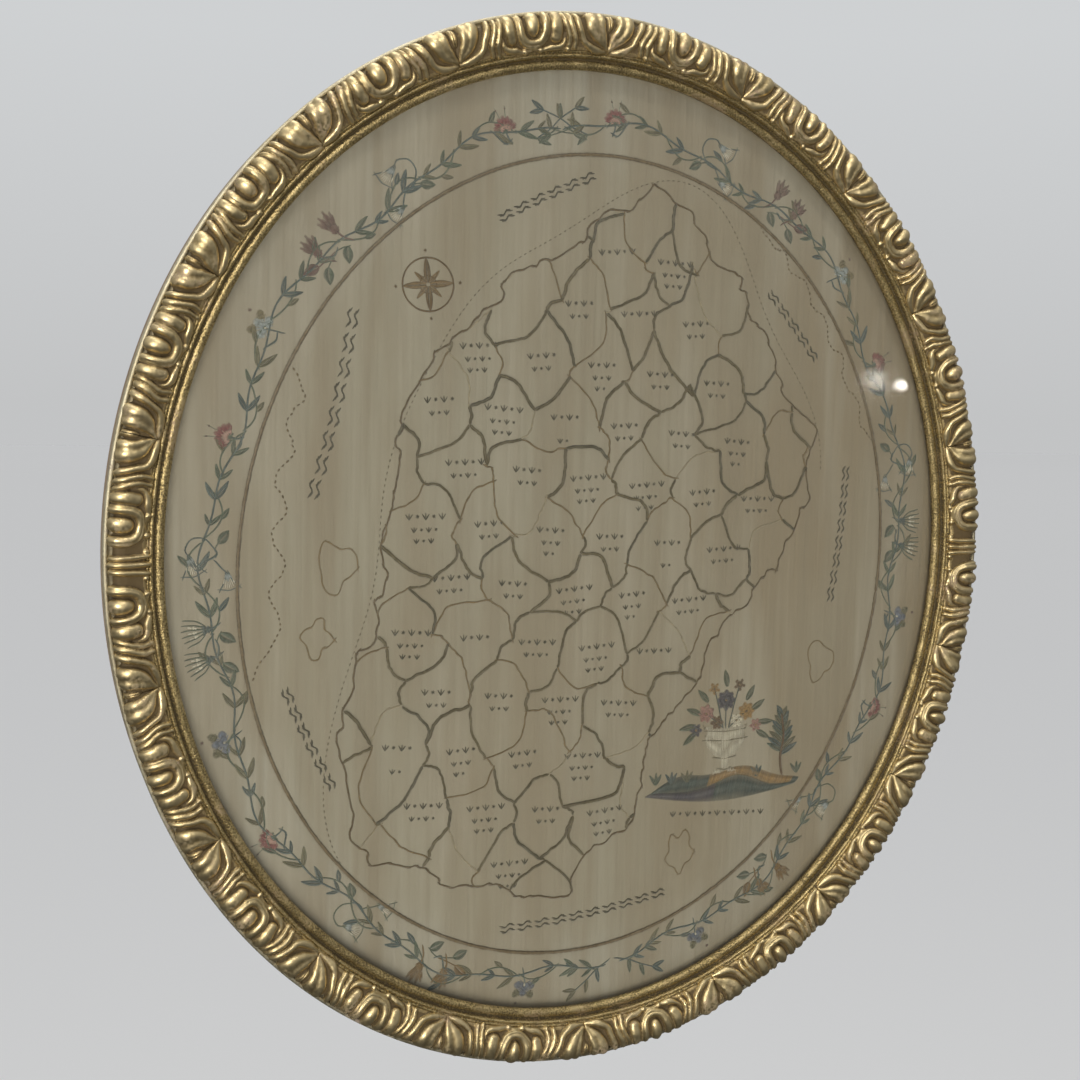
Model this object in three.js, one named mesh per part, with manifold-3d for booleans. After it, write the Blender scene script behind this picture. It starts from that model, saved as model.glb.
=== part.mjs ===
// Framed embroidered silk map: an oval of stitched silk under glass in a gilt frame with pressed ornament.
// It is drawn lying flat, x to the right, y up the picture and z out towards the viewer, with z = 0 at
// the wall. The last group stands it up, so in the part's frame +Z is up and the picture faces -Y.
// Millimetres throughout.
import * as THREE from "three";
import { mergeVertices } from "three/addons/utils/BufferGeometryUtils.js";
import Module from "manifold-3d";

const wasm = await Module();
wasm.setup();

// Driving sizes
const SIGHT_HALF_WIDTH = 215;
const SIGHT_HALF_HEIGHT = 243;
const FACE_WIDTH = 27;
const GAP = 0.3;
const OVAL_STEPS = 80;

// Layers behind the sight edge, as distances in front of the wall
const BOARD_THICK = 4;
const SILK_BACK = BOARD_THICK + GAP;
const SILK_THICK = 1.2;
const SILK_RIPPLE = 0.18;
const GLASS_BACK = 6;
const GLASS_THICK = 2;
const SLIP_BACK = 8.4;
const REBATE_WIDTH = 5.6;
const SILK_LAP = 5;
const GLASS_LAP = 5.2;
const BOARD_LAP = 5.2;

// The bed that carries the ornament, and the ornament on it
const BED_TOP = 13.6;
const BED_INNER = 8.3;
const BED_OUTER = 25.2;
const ORNAMENT_INNER = 8.6;
const ORNAMENT_OUTER = 24.6;
const ORNAMENT_BACK = BED_TOP + GAP;
const ORNAMENT_PATH = 12.2;
const REPEATS_PER_QUARTER = 4;
const REPEAT_LENGTH = 80.3;
const SHORT_BALL_SPACING = 35.9;
const END_CLEARANCE = 0.15;
const BALL = { radius: 5, across: 18.2, forward: 16.2 };
const SCROLL = { radius: 7.5, thick: 1.9, across: 18.4, forward: 16.8, opening: 0.5 };
const LEAF = { length: 10.4, width: 4.5, height: 4.6, inset: 9.8, across: 16.8, forward: 15.9, tilt: 0.82 };
const RIBS = { inset: 22.5, width: 6.4, across: 16.8, length: 12.4, forward: 15.9, thick: 3.6 };

// Outlines across the moulding: distance outward from the sight edge, distance in front of the wall
const MOULDING_OUTLINE = [
  [FACE_WIDTH, 0],
  [FACE_WIDTH, 13.2],
  [26.7, 14],
  [26.1, 14.5],
  [25.5, 14.3],
  [BED_OUTER, BED_TOP],
  [BED_INNER, BED_TOP],
  [BED_INNER, SLIP_BACK - GAP],
  [REBATE_WIDTH, SLIP_BACK - GAP],
  [REBATE_WIDTH, 0],
];
const SLIP_OUTLINE = [
  [BED_INNER - GAP, SLIP_BACK],
  [BED_INNER - GAP, 15.5],
  [6.9, 14],
  [6.6, 14.5],
  [6, 14.7],
  [5.3, 14.1],
  [4.5, 11.4],
  [3.2, 12.2],
  [2.1, 12.5],
  [1.1, 11.8],
  [0.3, 10],
  [0, SLIP_BACK],
];
const ORNAMENT_OUTLINE = [
  [ORNAMENT_INNER, ORNAMENT_BACK],
  [ORNAMENT_OUTER, ORNAMENT_BACK],
  [ORNAMENT_OUTER, 15.4],
  [19.5, 17.3],
  [13.5, 17.3],
  [ORNAMENT_INNER, 15.6],
];

// The oval path. An angle of 0 is the right-hand end and a quarter turn is the top.
function ovalPoint(angle, outward) {
  const normal = new THREE.Vector2(
    Math.cos(angle) / SIGHT_HALF_WIDTH,
    Math.sin(angle) / SIGHT_HALF_HEIGHT,
  ).normalize();
  return new THREE.Vector2(
    SIGHT_HALF_WIDTH * Math.cos(angle) + outward * normal.x,
    SIGHT_HALF_HEIGHT * Math.sin(angle) + outward * normal.y,
  );
}

// Arc length along the line of the ornament, clockwise from the top, at each of many small steps
const ARC_STEPS = 2880;
const arcLengths = [0];
for (let step = 1; step <= ARC_STEPS; step++) {
  const from = ovalPoint(pathAngle(step - 1), ORNAMENT_PATH);
  const to = ovalPoint(pathAngle(step), ORNAMENT_PATH);
  arcLengths.push(arcLengths[step - 1] + from.distanceTo(to));
}
const PERIMETER = arcLengths[ARC_STEPS];

function pathAngle(step) {
  return Math.PI / 2 - (2 * Math.PI * step) / ARC_STEPS;
}

function angleAtArc(arc) {
  const turns = Math.floor(arc / PERIMETER);
  const within = arc - turns * PERIMETER;
  let low = 0;
  let high = ARC_STEPS;
  while (high - low > 1) {
    const middle = (low + high) >> 1;
    if (arcLengths[middle] <= within) low = middle;
    else high = middle;
  }
  const share = (within - arcLengths[low]) / (arcLengths[high] - arcLengths[low]);
  return pathAngle(low + share);
}

// Moves every vertex of a geometry by a function that changes a Vector3 in place
function reshape(geometry, move) {
  const position = geometry.getAttribute("position");
  const point = new THREE.Vector3();
  for (let i = 0; i < position.count; i++) {
    point.fromBufferAttribute(position, i);
    move(point);
    position.setXYZ(i, point.x, point.y, point.z);
  }
  geometry.computeVertexNormals();
  return geometry;
}

// A ring of constant section round the oval, turned as a round ring first
function ovalRing(outline) {
  const turningRadius = 100;
  const profile = outline.map(([outward, forward]) => new THREE.Vector2(turningRadius + outward, forward));
  profile.push(profile[0].clone());
  return reshape(new THREE.LatheGeometry(profile, OVAL_STEPS), (point) => {
    const outward = Math.hypot(point.x, point.z) - turningRadius;
    const moved = ovalPoint(Math.atan2(point.x, point.z), outward);
    point.set(moved.x, moved.y, point.y);
  });
}

function ovalPlate(lap, thick, back) {
  const outline = new THREE.Shape();
  outline.absellipse(0, 0, SIGHT_HALF_WIDTH + lap, SIGHT_HALF_HEIGHT + lap, 0, 2 * Math.PI);
  const plate = new THREE.ExtrudeGeometry(outline, {
    depth: thick,
    bevelEnabled: false,
    curveSegments: OVAL_STEPS / 2,
  });
  return plate.translate(0, 0, back);
}

// Height of the silk's face above its mean plane: a slow wave, soft ridges that fan down from the
// top edge, and two slack creases low on the right
function silkRipple(x, y) {
  const wave = Math.sin(x / 55 + 0.6) * Math.cos(y / 80);
  const ridges = Math.cos(x / 9) * THREE.MathUtils.smoothstep(y, 120, 235);
  const crease = (offset) => {
    const across = x * 0.55 - y * 0.83 - offset;
    return Math.exp(-((across / 14) ** 2)) * THREE.MathUtils.smoothstep(x, 20, 120);
  };
  const sum = 0.35 * wave + 0.4 * ridges + 0.6 * crease(225) - 0.5 * crease(190);
  return SILK_RIPPLE * THREE.MathUtils.clamp(sum, -1, 1);
}

// The silk: a disc turned in rings, drawn out to the oval, its face rippled and its back flat
function silkSheet() {
  const rings = 7;
  const profile = [new THREE.Vector2(0, 0), new THREE.Vector2(1, 0)];
  for (let ring = rings; ring >= 0; ring--) profile.push(new THREE.Vector2(ring / rings, 1));
  return reshape(new THREE.LatheGeometry(profile, OVAL_STEPS), (point) => {
    const angle = Math.atan2(point.x, point.z);
    const reach = Math.hypot(point.x, point.z);
    const x = reach * (SIGHT_HALF_WIDTH + SILK_LAP) * Math.cos(angle);
    const y = reach * (SIGHT_HALF_HEIGHT + SILK_LAP) * Math.sin(angle);
    const face = SILK_THICK + silkRipple(x, y);
    point.set(x, y, SILK_BACK + point.y * face);
  });
}

function solidOf(geometry) {
  const bare = geometry.clone();
  bare.deleteAttribute("normal");
  bare.deleteAttribute("uv");
  const merged = mergeVertices(bare, 1e-4);
  return new wasm.Manifold(
    new wasm.Mesh({
      numProp: 3,
      vertProperties: merged.attributes.position.array,
      triVerts: new Uint32Array(merged.index.array),
    }),
  );
}

function geometryOf(solid) {
  const mesh = solid.getMesh();
  const geometry = new THREE.BufferGeometry();
  geometry.setAttribute("position", new THREE.BufferAttribute(mesh.vertProperties, 3));
  geometry.setIndex(new THREE.BufferAttribute(mesh.triVerts, 1));
  geometry.computeVertexNormals();
  return geometry;
}

// Bends a shape drawn straight (x along the moulding, y across it, z forward) round the oval
function bend(geometry, arcCentre) {
  return reshape(geometry, (point) => {
    const moved = ovalPoint(angleAtArc(arcCentre + point.x), point.y);
    point.set(moved.x, moved.y, point.z);
  });
}

function ornamentPlate(length) {
  const outline = ORNAMENT_OUTLINE.map(([across, forward]) => new THREE.Vector2(across, forward));
  const plate = new THREE.ExtrudeGeometry(new THREE.Shape(outline), {
    depth: length - 2 * END_CLEARANCE,
    steps: Math.round(length / 13),
    bevelEnabled: false,
  });
  const start = END_CLEARANCE - length / 2;
  return reshape(plate, (point) => point.set(start + point.z, point.x, point.y));
}

function ornamentBall(along) {
  const ball = new THREE.SphereGeometry(BALL.radius, 8, 6);
  return ball.rotateX(Math.PI / 2).translate(along, BALL.across, BALL.forward);
}

// The scroll that holds the ball: a round bar along an arc that is open towards the outer edge
function ornamentScroll(along) {
  const start = Math.PI - SCROLL.opening;
  const sweep = Math.PI + 2 * SCROLL.opening;
  const steps = 7;
  const points = [];
  for (let step = 0; step <= steps; step++) {
    const angle = start + (sweep * step) / steps;
    const x = along + SCROLL.radius * Math.cos(angle);
    const y = SCROLL.across + SCROLL.radius * Math.sin(angle);
    points.push(new THREE.Vector3(x, y, SCROLL.forward));
  }
  const section = new THREE.Shape();
  section.absarc(0, 0, SCROLL.thick, 0, 2 * Math.PI);
  return new THREE.ExtrudeGeometry(section, {
    extrudePath: new THREE.CatmullRomCurve3(points),
    steps,
    curveSegments: 3,
    bevelEnabled: false,
  });
}

// One plump leaf at an end of the length; side is -1 at the start and 1 at the finish
function ornamentLeaf(length, side) {
  const leaf = new THREE.SphereGeometry(1, 7, 5);
  leaf.rotateX(Math.PI / 2).scale(LEAF.length, LEAF.width, LEAF.height).rotateZ(-side * LEAF.tilt);
  return leaf.translate(side * (length / 2 - LEAF.inset), LEAF.across, LEAF.forward);
}

// The raised group of ribs between a leaf and a scroll
function ornamentRibs(along) {
  const block = new THREE.BoxGeometry(RIBS.width, RIBS.length, RIBS.thick);
  return block.translate(along, RIBS.across, RIBS.forward);
}

function ornamentLength(arcCentre, length, ballPlaces) {
  const ribPlace = length / 2 - RIBS.inset;
  const shapes = [
    ornamentPlate(length),
    ornamentLeaf(length, -1),
    ornamentLeaf(length, 1),
    ornamentRibs(-ribPlace),
    ornamentRibs(ribPlace),
    ...ballPlaces.flatMap((along) => [ornamentBall(along), ornamentScroll(along)]),
  ];
  const solids = shapes.map((shape) => solidOf(bend(shape, arcCentre)));
  const joined = solids.reduce((sum, next) => sum.add(next));
  const room = new THREE.BoxGeometry(2000, 2000, 100).translate(0, 0, ORNAMENT_BACK + 50);
  return geometryOf(joined.intersect(solidOf(room)));
}

// Each length runs from one leaf joint to the next, clockwise from the top. The short repeat that
// closes the run sits in the middle of each side.
const SHORT_LENGTH = PERIMETER / 2 - 2 * REPEATS_PER_QUARTER * REPEAT_LENGTH;
const SIDE_LENGTHS = [
  ...Array(REPEATS_PER_QUARTER).fill(REPEAT_LENGTH),
  SHORT_LENGTH,
  ...Array(REPEATS_PER_QUARTER).fill(REPEAT_LENGTH),
];

const gilt = { color: 0xb08a3c, roughness: 0.38, metalness: 0.85 };
const sanded = { color: 0xa8864a, roughness: 0.6, metalness: 0.6 };
const glass = { color: 0xe8eeea, roughness: 0.05, metalness: 0 };
const silk = { color: 0x93886f, roughness: 0.7, metalness: 0 };
const wood = { color: 0x8a6a45, roughness: 0.8, metalness: 0 };

const picture = new THREE.Group();

function place(name, geometry, look) {
  const mesh = new THREE.Mesh(geometry, new THREE.MeshStandardMaterial(look));
  mesh.name = name;
  picture.add(mesh);
}

place("silk_sheet", silkSheet(), silk);
place("glass_pane", ovalPlate(GLASS_LAP, GLASS_THICK, GLASS_BACK), glass);
place("backboard", ovalPlate(BOARD_LAP, BOARD_THICK, 0), wood);
place("frame_moulding", ovalRing(MOULDING_OUTLINE), gilt);
place("sight_slip", ovalRing(SLIP_OUTLINE), sanded);

let reached = 0;
[...SIDE_LENGTHS, ...SIDE_LENGTHS].forEach((length, index) => {
  const balls = length === REPEAT_LENGTH ? [0] : [-SHORT_BALL_SPACING / 2, SHORT_BALL_SPACING / 2];
  const number = String(index + 1).padStart(2, "0");
  place(`ornament_${number}`, ornamentLength(reached + length / 2, length, balls), gilt);
  reached += length;
});

picture.rotation.x = Math.PI / 2;
const part = new THREE.Group();
part.add(picture);

export default part;
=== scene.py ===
import math

import bpy
import numpy as np
from mathutils import Matrix, Vector


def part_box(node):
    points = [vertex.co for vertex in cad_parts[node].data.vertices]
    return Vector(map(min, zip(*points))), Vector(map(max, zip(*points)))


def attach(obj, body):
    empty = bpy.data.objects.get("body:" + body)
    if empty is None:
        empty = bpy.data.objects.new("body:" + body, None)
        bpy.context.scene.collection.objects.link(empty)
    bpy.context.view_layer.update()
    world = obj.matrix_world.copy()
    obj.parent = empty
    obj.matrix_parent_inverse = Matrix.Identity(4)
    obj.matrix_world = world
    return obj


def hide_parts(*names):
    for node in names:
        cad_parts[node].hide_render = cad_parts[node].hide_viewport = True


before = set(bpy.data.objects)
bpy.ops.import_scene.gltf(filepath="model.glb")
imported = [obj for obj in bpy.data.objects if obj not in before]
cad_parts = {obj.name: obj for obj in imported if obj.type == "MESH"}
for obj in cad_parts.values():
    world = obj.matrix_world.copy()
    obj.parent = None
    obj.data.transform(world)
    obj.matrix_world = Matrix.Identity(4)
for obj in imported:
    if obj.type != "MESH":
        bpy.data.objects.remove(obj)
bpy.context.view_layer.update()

# Looks of an embroidered silk map behind glass in an oval gilt frame.
# Picture coordinates are millimetres: right, up, and forward from the wall.

MM = 0.001

# Driving sizes, in millimetres
FACE_WIDTH = 27.0
FRAME_LOW, FRAME_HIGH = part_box("frame_moulding")
SIGHT_HALF_WIDTH = (FRAME_HIGH[0] - FRAME_LOW[0]) / MM / 2 - FACE_WIDTH
SIGHT_HALF_HEIGHT = (FRAME_HIGH[2] - FRAME_LOW[2]) / MM / 2 - FACE_WIDTH
SIGHT_BACK = 8.6
BED_TOP = 13.6
ORNAMENT_BACK = 13.9
ORNAMENT_PATH = 12.2
REPEATS_PER_QUARTER = 4
REPEAT_LENGTH = 80.3
SHORT_BALL_PLACE = 17.95
END_CLEARANCE = 0.15
SILK_BACK = 4.3
SILK_FACE = 5.0
SILK_LAP = 5.0
WARP_PER_METRE = 3600.0
WEFT_PER_METRE = 2900.0

# Camera, where the photograph was taken from
CAMERA_PLACE = (-286.6, 73.4, 655.5)
CAMERA_TARGET = (-28.7, 7.3, 8.6)
CAMERA_ROLL = math.radians(1.12)
CAMERA_LENS = 45.62
SENSOR_WIDTH = 36.0
SIDE_SHIFT = 0.0014
FLOOR_DEPTH = 870.0


def part_frame(points):
    """Picture coordinates in millimetres to the part's frame in metres."""
    points = np.asarray(points, float)
    return np.stack([points[..., 0], -points[..., 2], points[..., 1]], -1) * MM


# Camera, light and floor

def make_camera():
    camera = bpy.data.objects.new("camera", bpy.data.cameras.new("camera"))
    bpy.context.scene.collection.objects.link(camera)
    place = Vector(part_frame(CAMERA_PLACE))
    heading = Vector(part_frame(CAMERA_TARGET)) - place
    turn = heading.to_track_quat("-Z", "Y").to_matrix().to_4x4()
    camera.matrix_world = Matrix.Translation(place) @ turn @ Matrix.Rotation(CAMERA_ROLL, 4, "Z")
    camera.data.sensor_width = SENSOR_WIDTH
    camera.data.lens = CAMERA_LENS
    camera.data.shift_x = SIDE_SHIFT
    camera.data.clip_start = 0.01
    bpy.context.scene.camera = camera


def make_lamp(name, place, target, size, power, colour, glossy=True):
    """A soft round or oval lamp. One that isn't glossy lights surfaces but isn't mirrored in them."""
    data = bpy.data.lights.new(name, "AREA")
    data.shape = "ELLIPSE"
    data.size, data.size_y = size
    data.energy = power
    data.color = colour
    lamp = bpy.data.objects.new(name, data)
    bpy.context.scene.collection.objects.link(lamp)
    lamp.location = place
    lamp.rotation_euler = (Vector(target) - Vector(place)).to_track_quat("-Z", "Y").to_euler()
    lamp.visible_glossy = glossy
    return lamp


def connect(tree, socket, value):
    """Links an output socket to the input, or sets the input to a plain value."""
    if isinstance(value, bpy.types.NodeSocket):
        tree.links.new(value, socket)
    elif isinstance(value, tuple) and len(value) == 3 and socket.type == "RGBA":
        socket.default_value = (*value, 1.0)
    else:
        socket.default_value = value


def add(tree, kind, inputs=None, **settings):
    """Adds a node with its settings, and fills its inputs by name or number."""
    node = tree.nodes.new(kind)
    for name, value in settings.items():
        setattr(node, name, value)
    for name, value in (inputs or {}).items():
        connect(tree, node.inputs[name], value)
    return node


def make_world():
    """A soft pale studio: brighter overhead, dimmer in front, and an even pale tone behind the object."""
    world = bpy.data.worlds.new("studio")
    bpy.context.scene.world = world
    world.use_nodes = True
    tree = world.node_tree
    tree.nodes.clear()
    place = add(tree, "ShaderNodeTexCoord")
    split = add(tree, "ShaderNodeSeparateXYZ", {0: place.outputs["Generated"]})
    height = add(tree, "ShaderNodeMapRange", {
        "Value": split.outputs["Z"], "From Min": -0.6, "From Max": 1.0, "To Min": 0.10, "To Max": 0.55,
    }, interpolation_type="SMOOTHSTEP")
    tint = add(tree, "ShaderNodeCombineColor", {
        "Red": height.outputs[0], "Green": height.outputs[0], "Blue": height.outputs[0],
    })
    light = add(tree, "ShaderNodeBackground", {"Color": tint.outputs[0], "Strength": 0.75})
    rise = ranged(tree, split.outputs["Z"], 0.0, 0.25)
    sky = tinted(tree, rise, (0.541, 0.548, 0.554, 1), (0.62, 0.635, 0.645, 1))
    pale = add(tree, "ShaderNodeBackground", {"Color": sky, "Strength": 1.0})
    path = add(tree, "ShaderNodeLightPath")
    mixed = add(tree, "ShaderNodeMixShader", {
        0: path.outputs["Is Camera Ray"], 1: light.outputs[0], 2: pale.outputs[0],
    })
    out = add(tree, "ShaderNodeOutputWorld")
    tree.links.new(mixed.outputs[0], out.inputs["Surface"])


def make_stage():
    bpy.context.scene.view_settings.view_transform = "Standard"
    make_world()
    middle = (0.0, 0.0, 0.0)
    warm = (1.0, 0.955, 0.88)
    make_lamp("overhead", (-0.10, -0.90, 1.45), middle, (0.60, 0.28), 5.6, warm)
    make_lamp("soft_front", (-0.55, -1.40, -0.42), middle, (1.3, 1.0), 18.0, warm, glossy=False)
    # The key gives the gilding its highlights and leaves the even light on the silk to the soft lamp
    key = make_lamp("left_key", (-0.85, -1.05, 0.36), middle, (0.50, 0.50), 11.5, warm)
    key.visible_diffuse = False
    # Two small room lamps that the glass mirrors
    for number, place in enumerate(((0.785, -0.812, 0.114), (0.753, -0.823, 0.120))):
        glint = make_lamp(f"room_lamp_{number + 1}", place, (0.18, 0.0, 0.09), (0.010, 0.010), 0.014, warm)
        glint.visible_diffuse = False
    # A soft sun from above and behind lights the floor evenly and only the edges of what hangs
    sun = bpy.data.lights.new("floor_light", "SUN")
    sun.energy = 1.0
    sun.angle = math.radians(40)
    lamp = bpy.data.objects.new("floor_light", sun)
    bpy.context.scene.collection.objects.link(lamp)
    lamp.rotation_euler = (math.radians(-14), 0.0, 0.0)
    reach = 30.0
    floor_mesh = bpy.data.meshes.new("floor")
    corners = [(-reach, -reach), (reach, -reach), (reach, reach), (-reach, reach)]
    floor_mesh.from_pydata([(x, y, -FLOOR_DEPTH * MM) for x, y in corners], [], [(0, 1, 2, 3)])
    floor = bpy.data.objects.new("floor", floor_mesh)
    bpy.context.scene.collection.objects.link(floor)
    material, tree, shader = new_look("floor")
    grain = add(tree, "ShaderNodeTexNoise", {"Scale": 3.0, "Detail": 3.0})
    tone = tinted(tree, grain.outputs[0], (0.80, 0.81, 0.82, 1), (0.84, 0.85, 0.86, 1))
    connect(tree, shader.inputs["Base Color"], tone)
    connect(tree, shader.inputs["Roughness"], 0.8)
    floor_mesh.materials.append(material)
    floor.visible_glossy = False


# Shapes shared by the pieces

def oval_point(angle, outward, half_width=None, half_height=None):
    """A point that lies outward from the sight edge, or from another oval, square to it."""
    half_width = half_width or SIGHT_HALF_WIDTH
    half_height = half_height or SIGHT_HALF_HEIGHT
    across, up = np.cos(angle), np.sin(angle)
    normal_x, normal_y = across / half_width, up / half_height
    size = np.hypot(normal_x, normal_y)
    return half_width * across + outward * normal_x / size, half_height * up + outward * normal_y / size


class ArcTable:
    """Angles for distances along an offset oval, clockwise from its top."""

    def __init__(self, half_width, half_height, outward):
        steps = 5760
        self.angles = math.pi / 2 - 2 * math.pi * np.arange(steps + 1) / steps
        x, y = oval_point(self.angles, outward, half_width, half_height)
        self.arcs = np.concatenate([[0.0], np.cumsum(np.hypot(np.diff(x), np.diff(y)))])
        self.perimeter = self.arcs[-1]

    def angle(self, arc):
        turns = np.floor(np.asarray(arc) / self.perimeter)
        return np.interp(arc - turns * self.perimeter, self.arcs, self.angles) - 2 * math.pi * turns


def catmull(points, steps=6):
    """A smooth curve through the points."""
    points = np.asarray(points, float)
    padded = np.vstack([2 * points[0] - points[1], points, 2 * points[-1] - points[-2]])
    share = np.linspace(0, 1, steps, endpoint=False)[:, None]
    pieces = []
    for a, b, c, d in zip(padded, padded[1:], padded[2:], padded[3:]):
        cubic = (-a + 3 * b - 3 * c + d) * share ** 3
        pieces.append(0.5 * (2 * b + (c - a) * share + (2 * a - 5 * b + 4 * c - d) * share ** 2 + cubic))
    return np.vstack([*pieces, points[-1:]])


def soft_noise(x, y, size, seed, waves=8):
    """Smooth noise, mostly between -1 and 1, with lumps of about the given size."""
    draw = np.random.default_rng(seed)
    total = np.zeros(np.broadcast(x, y).shape)
    for _ in range(waves):
        heading = draw.uniform(0, 2 * math.pi)
        pitch = size * draw.uniform(1.2, 3.2)
        shift = draw.uniform(0, 2 * math.pi)
        total += np.sin(2 * math.pi * (x * math.cos(heading) + y * math.sin(heading)) / pitch + shift)
    return total / math.sqrt(waves)


def smoothstep(value, low, high):
    share = np.clip((value - low) / (high - low), 0, 1)
    return share * share * (3 - 2 * share)


def grid_faces(rows, columns, first=0):
    """Quads over a grid of points stored row by row."""
    row, column = np.meshgrid(np.arange(rows - 1), np.arange(columns - 1), indexing="ij")
    here = first + row * columns + column
    there = here + columns
    return np.stack([here, there, there + 1, here + 1], -1).reshape(-1, 4)


def make_piece(name, points, faces, materials, values=None, colours=None, face_material=None):
    """A piece from picture points and lists of triangles and quads, riding on the one body."""
    mesh = bpy.data.meshes.new(name)
    mesh.vertices.add(len(points))
    mesh.vertices.foreach_set("co", part_frame(points).ravel())
    corners = np.concatenate([part.ravel() for part in faces])
    sides = np.concatenate([np.full(len(part), part.shape[1]) for part in faces])
    mesh.loops.add(len(corners))
    mesh.polygons.add(len(sides))
    mesh.polygons.foreach_set("loop_start", np.concatenate([[0], np.cumsum(sides)[:-1]]).astype(np.int32))
    mesh.loops.foreach_set("vertex_index", corners.astype(np.int32))
    mesh.polygons.foreach_set("use_smooth", np.ones(len(sides), bool))
    if face_material is not None:
        mesh.polygons.foreach_set("material_index", face_material.astype(np.int32))
    for material in materials:
        mesh.materials.append(material)
    for label, value in (values or {}).items():
        layer = mesh.attributes.new(label, "FLOAT", "POINT")
        layer.data.foreach_set("value", value.astype(np.float32).ravel())
    for label, value in (colours or {}).items():
        shown = np.concatenate([value, np.ones((len(value), 1))], 1)
        layer = mesh.attributes.new(label, "FLOAT_COLOR", "POINT")
        layer.data.foreach_set("color", shown.astype(np.float32).ravel())
    mesh.update(calc_edges=True)
    mesh.validate()
    piece = bpy.data.objects.new(name, mesh)
    bpy.context.scene.collection.objects.link(piece)
    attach(piece, "root")
    return piece


# Materials

def new_look(name):
    """A node material with its tree and its one Principled shader."""
    material = bpy.data.materials.new(name)
    material.use_nodes = True
    return material, material.node_tree, material.node_tree.nodes["Principled BSDF"]


def spots(tree, scale, detail=3.0, stretch=(1.0, 1.0, 1.0)):
    """Noise from 0 to 1 in the part's frame. Scale is lumps per metre."""
    place = add(tree, "ShaderNodeTexCoord")
    mapping = add(tree, "ShaderNodeMapping", {"Vector": place.outputs["Object"], "Scale": stretch})
    noise = add(tree, "ShaderNodeTexNoise", {
        "Vector": mapping.outputs[0], "Scale": scale, "Detail": detail, "Roughness": 0.55,
    })
    return noise.outputs[0]


def ranged(tree, value, low, high, to_low=0.0, to_high=1.0):
    node = add(tree, "ShaderNodeMapRange", {
        "Value": value, "From Min": low, "From Max": high, "To Min": to_low, "To Max": to_high,
    })
    return node.outputs[0]


def figure(tree, operation, first, second):
    return add(tree, "ShaderNodeMath", {0: first, 1: second}, operation=operation).outputs[0]


def tinted(tree, share, first, second):
    node = add(tree, "ShaderNodeMix", {0: share, 6: first, 7: second}, data_type="RGBA")
    return node.outputs[2]


def stored(tree, name, output="Fac"):
    return add(tree, "ShaderNodeAttribute", attribute_name=name).outputs[output]


def glazed(tree, colour, mask, low, high, at_low, at_high, tint):
    """The colour under a tint, whose share runs between two values as the mask runs from low to high."""
    return tinted(tree, ranged(tree, mask, low, high, at_low, at_high), colour, (*tint, 1))


def surfaced(tree, shader, colour, rough, height, depth):
    """Fills the shader's colour, roughness and bump."""
    bump = add(tree, "ShaderNodeBump", {"Height": height, "Distance": depth, "Strength": 1.0})
    connect(tree, shader.inputs["Base Color"], colour)
    connect(tree, shader.inputs["Roughness"], rough)
    connect(tree, shader.inputs["Normal"], bump.outputs[0])


def gilt_look(name, bright, middle, dark, rough, grain_scale, grain_depth, speckle):
    """Worn leaf over gesso, coloured from the stored tone: bright on top as a painted highlight, dark in the
    hollows as painted shade together with the toning there, with brown ground where it is rubbed.
    """
    material, tree, shader = new_look(name)
    height = stored(tree, "height")
    wear = spots(tree, 60.0, 2.0)
    fine = spots(tree, grain_scale, 1.0)
    shade_and_wear_tone = figure(tree, "ADD", height, ranged(tree, fine, 0.32, 0.68, -speckle, speckle))
    shade_and_wear_tone = figure(tree, "ADD", shade_and_wear_tone, ranged(tree, wear, 0.3, 0.7, -0.08, 0.08))
    # Painted shade and painted highlight: the tone runs the colour from the dark one in the hollows through
    # the middle one to the bright one on the crests.
    hollow = ranged(tree, shade_and_wear_tone, 0.16, 0.46)
    crest = ranged(tree, shade_and_wear_tone, 0.52, 0.86)
    colour = tinted(tree, hollow, dark, middle)
    colour = tinted(tree, crest, colour, bright)
    rubbed = figure(tree, "MULTIPLY", ranged(tree, wear, 0.53, 0.68), ranged(tree, fine, 0.40, 0.58))
    rubbed = figure(tree, "MULTIPLY", rubbed, ranged(tree, shade_and_wear_tone, 0.30, 0.55, 0.0, 0.70))
    colour = tinted(tree, rubbed, colour, (0.23, 0.150, 0.115, 1))
    metal = figure(tree, "MULTIPLY", ranged(tree, shade_and_wear_tone, 0.10, 0.45, 0.25, 1.0),
                   ranged(tree, rubbed, 0.0, 1.0, 1.0, 0.35))
    connect(tree, shader.inputs["Metallic"], metal)
    gloss = ranged(tree, fine, 0.25, 0.75, rough - 0.07, rough + 0.12)
    gloss = figure(tree, "ADD", gloss, ranged(tree, shade_and_wear_tone, 0.1, 0.5, 0.25, 0.0))
    surfaced(tree, shader, colour, gloss, fine, grain_depth)
    return material


def wood_look(name, light, dark, grain=90.0):
    material, tree, shader = new_look(name)
    streaks = spots(tree, grain, 5.0, (1.0, 1.0, 0.07))
    pores = spots(tree, 900.0, 2.0, (1.0, 1.0, 0.05))
    stain = spots(tree, 9.0, 3.0)
    colour = tinted(tree, ranged(tree, streaks, 0.3, 0.7), light, dark)
    colour = tinted(tree, ranged(tree, stain, 0.45, 0.75, 0.0, 0.5), colour, dark)
    colour = glazed(tree, colour, pores, 0.58, 0.75, 0.0, 0.6, (0.06, 0.04, 0.025))
    surfaced(tree, shader, colour, ranged(tree, streaks, 0.2, 0.8, 0.62, 0.85), pores, 0.0003)
    return material


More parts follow.
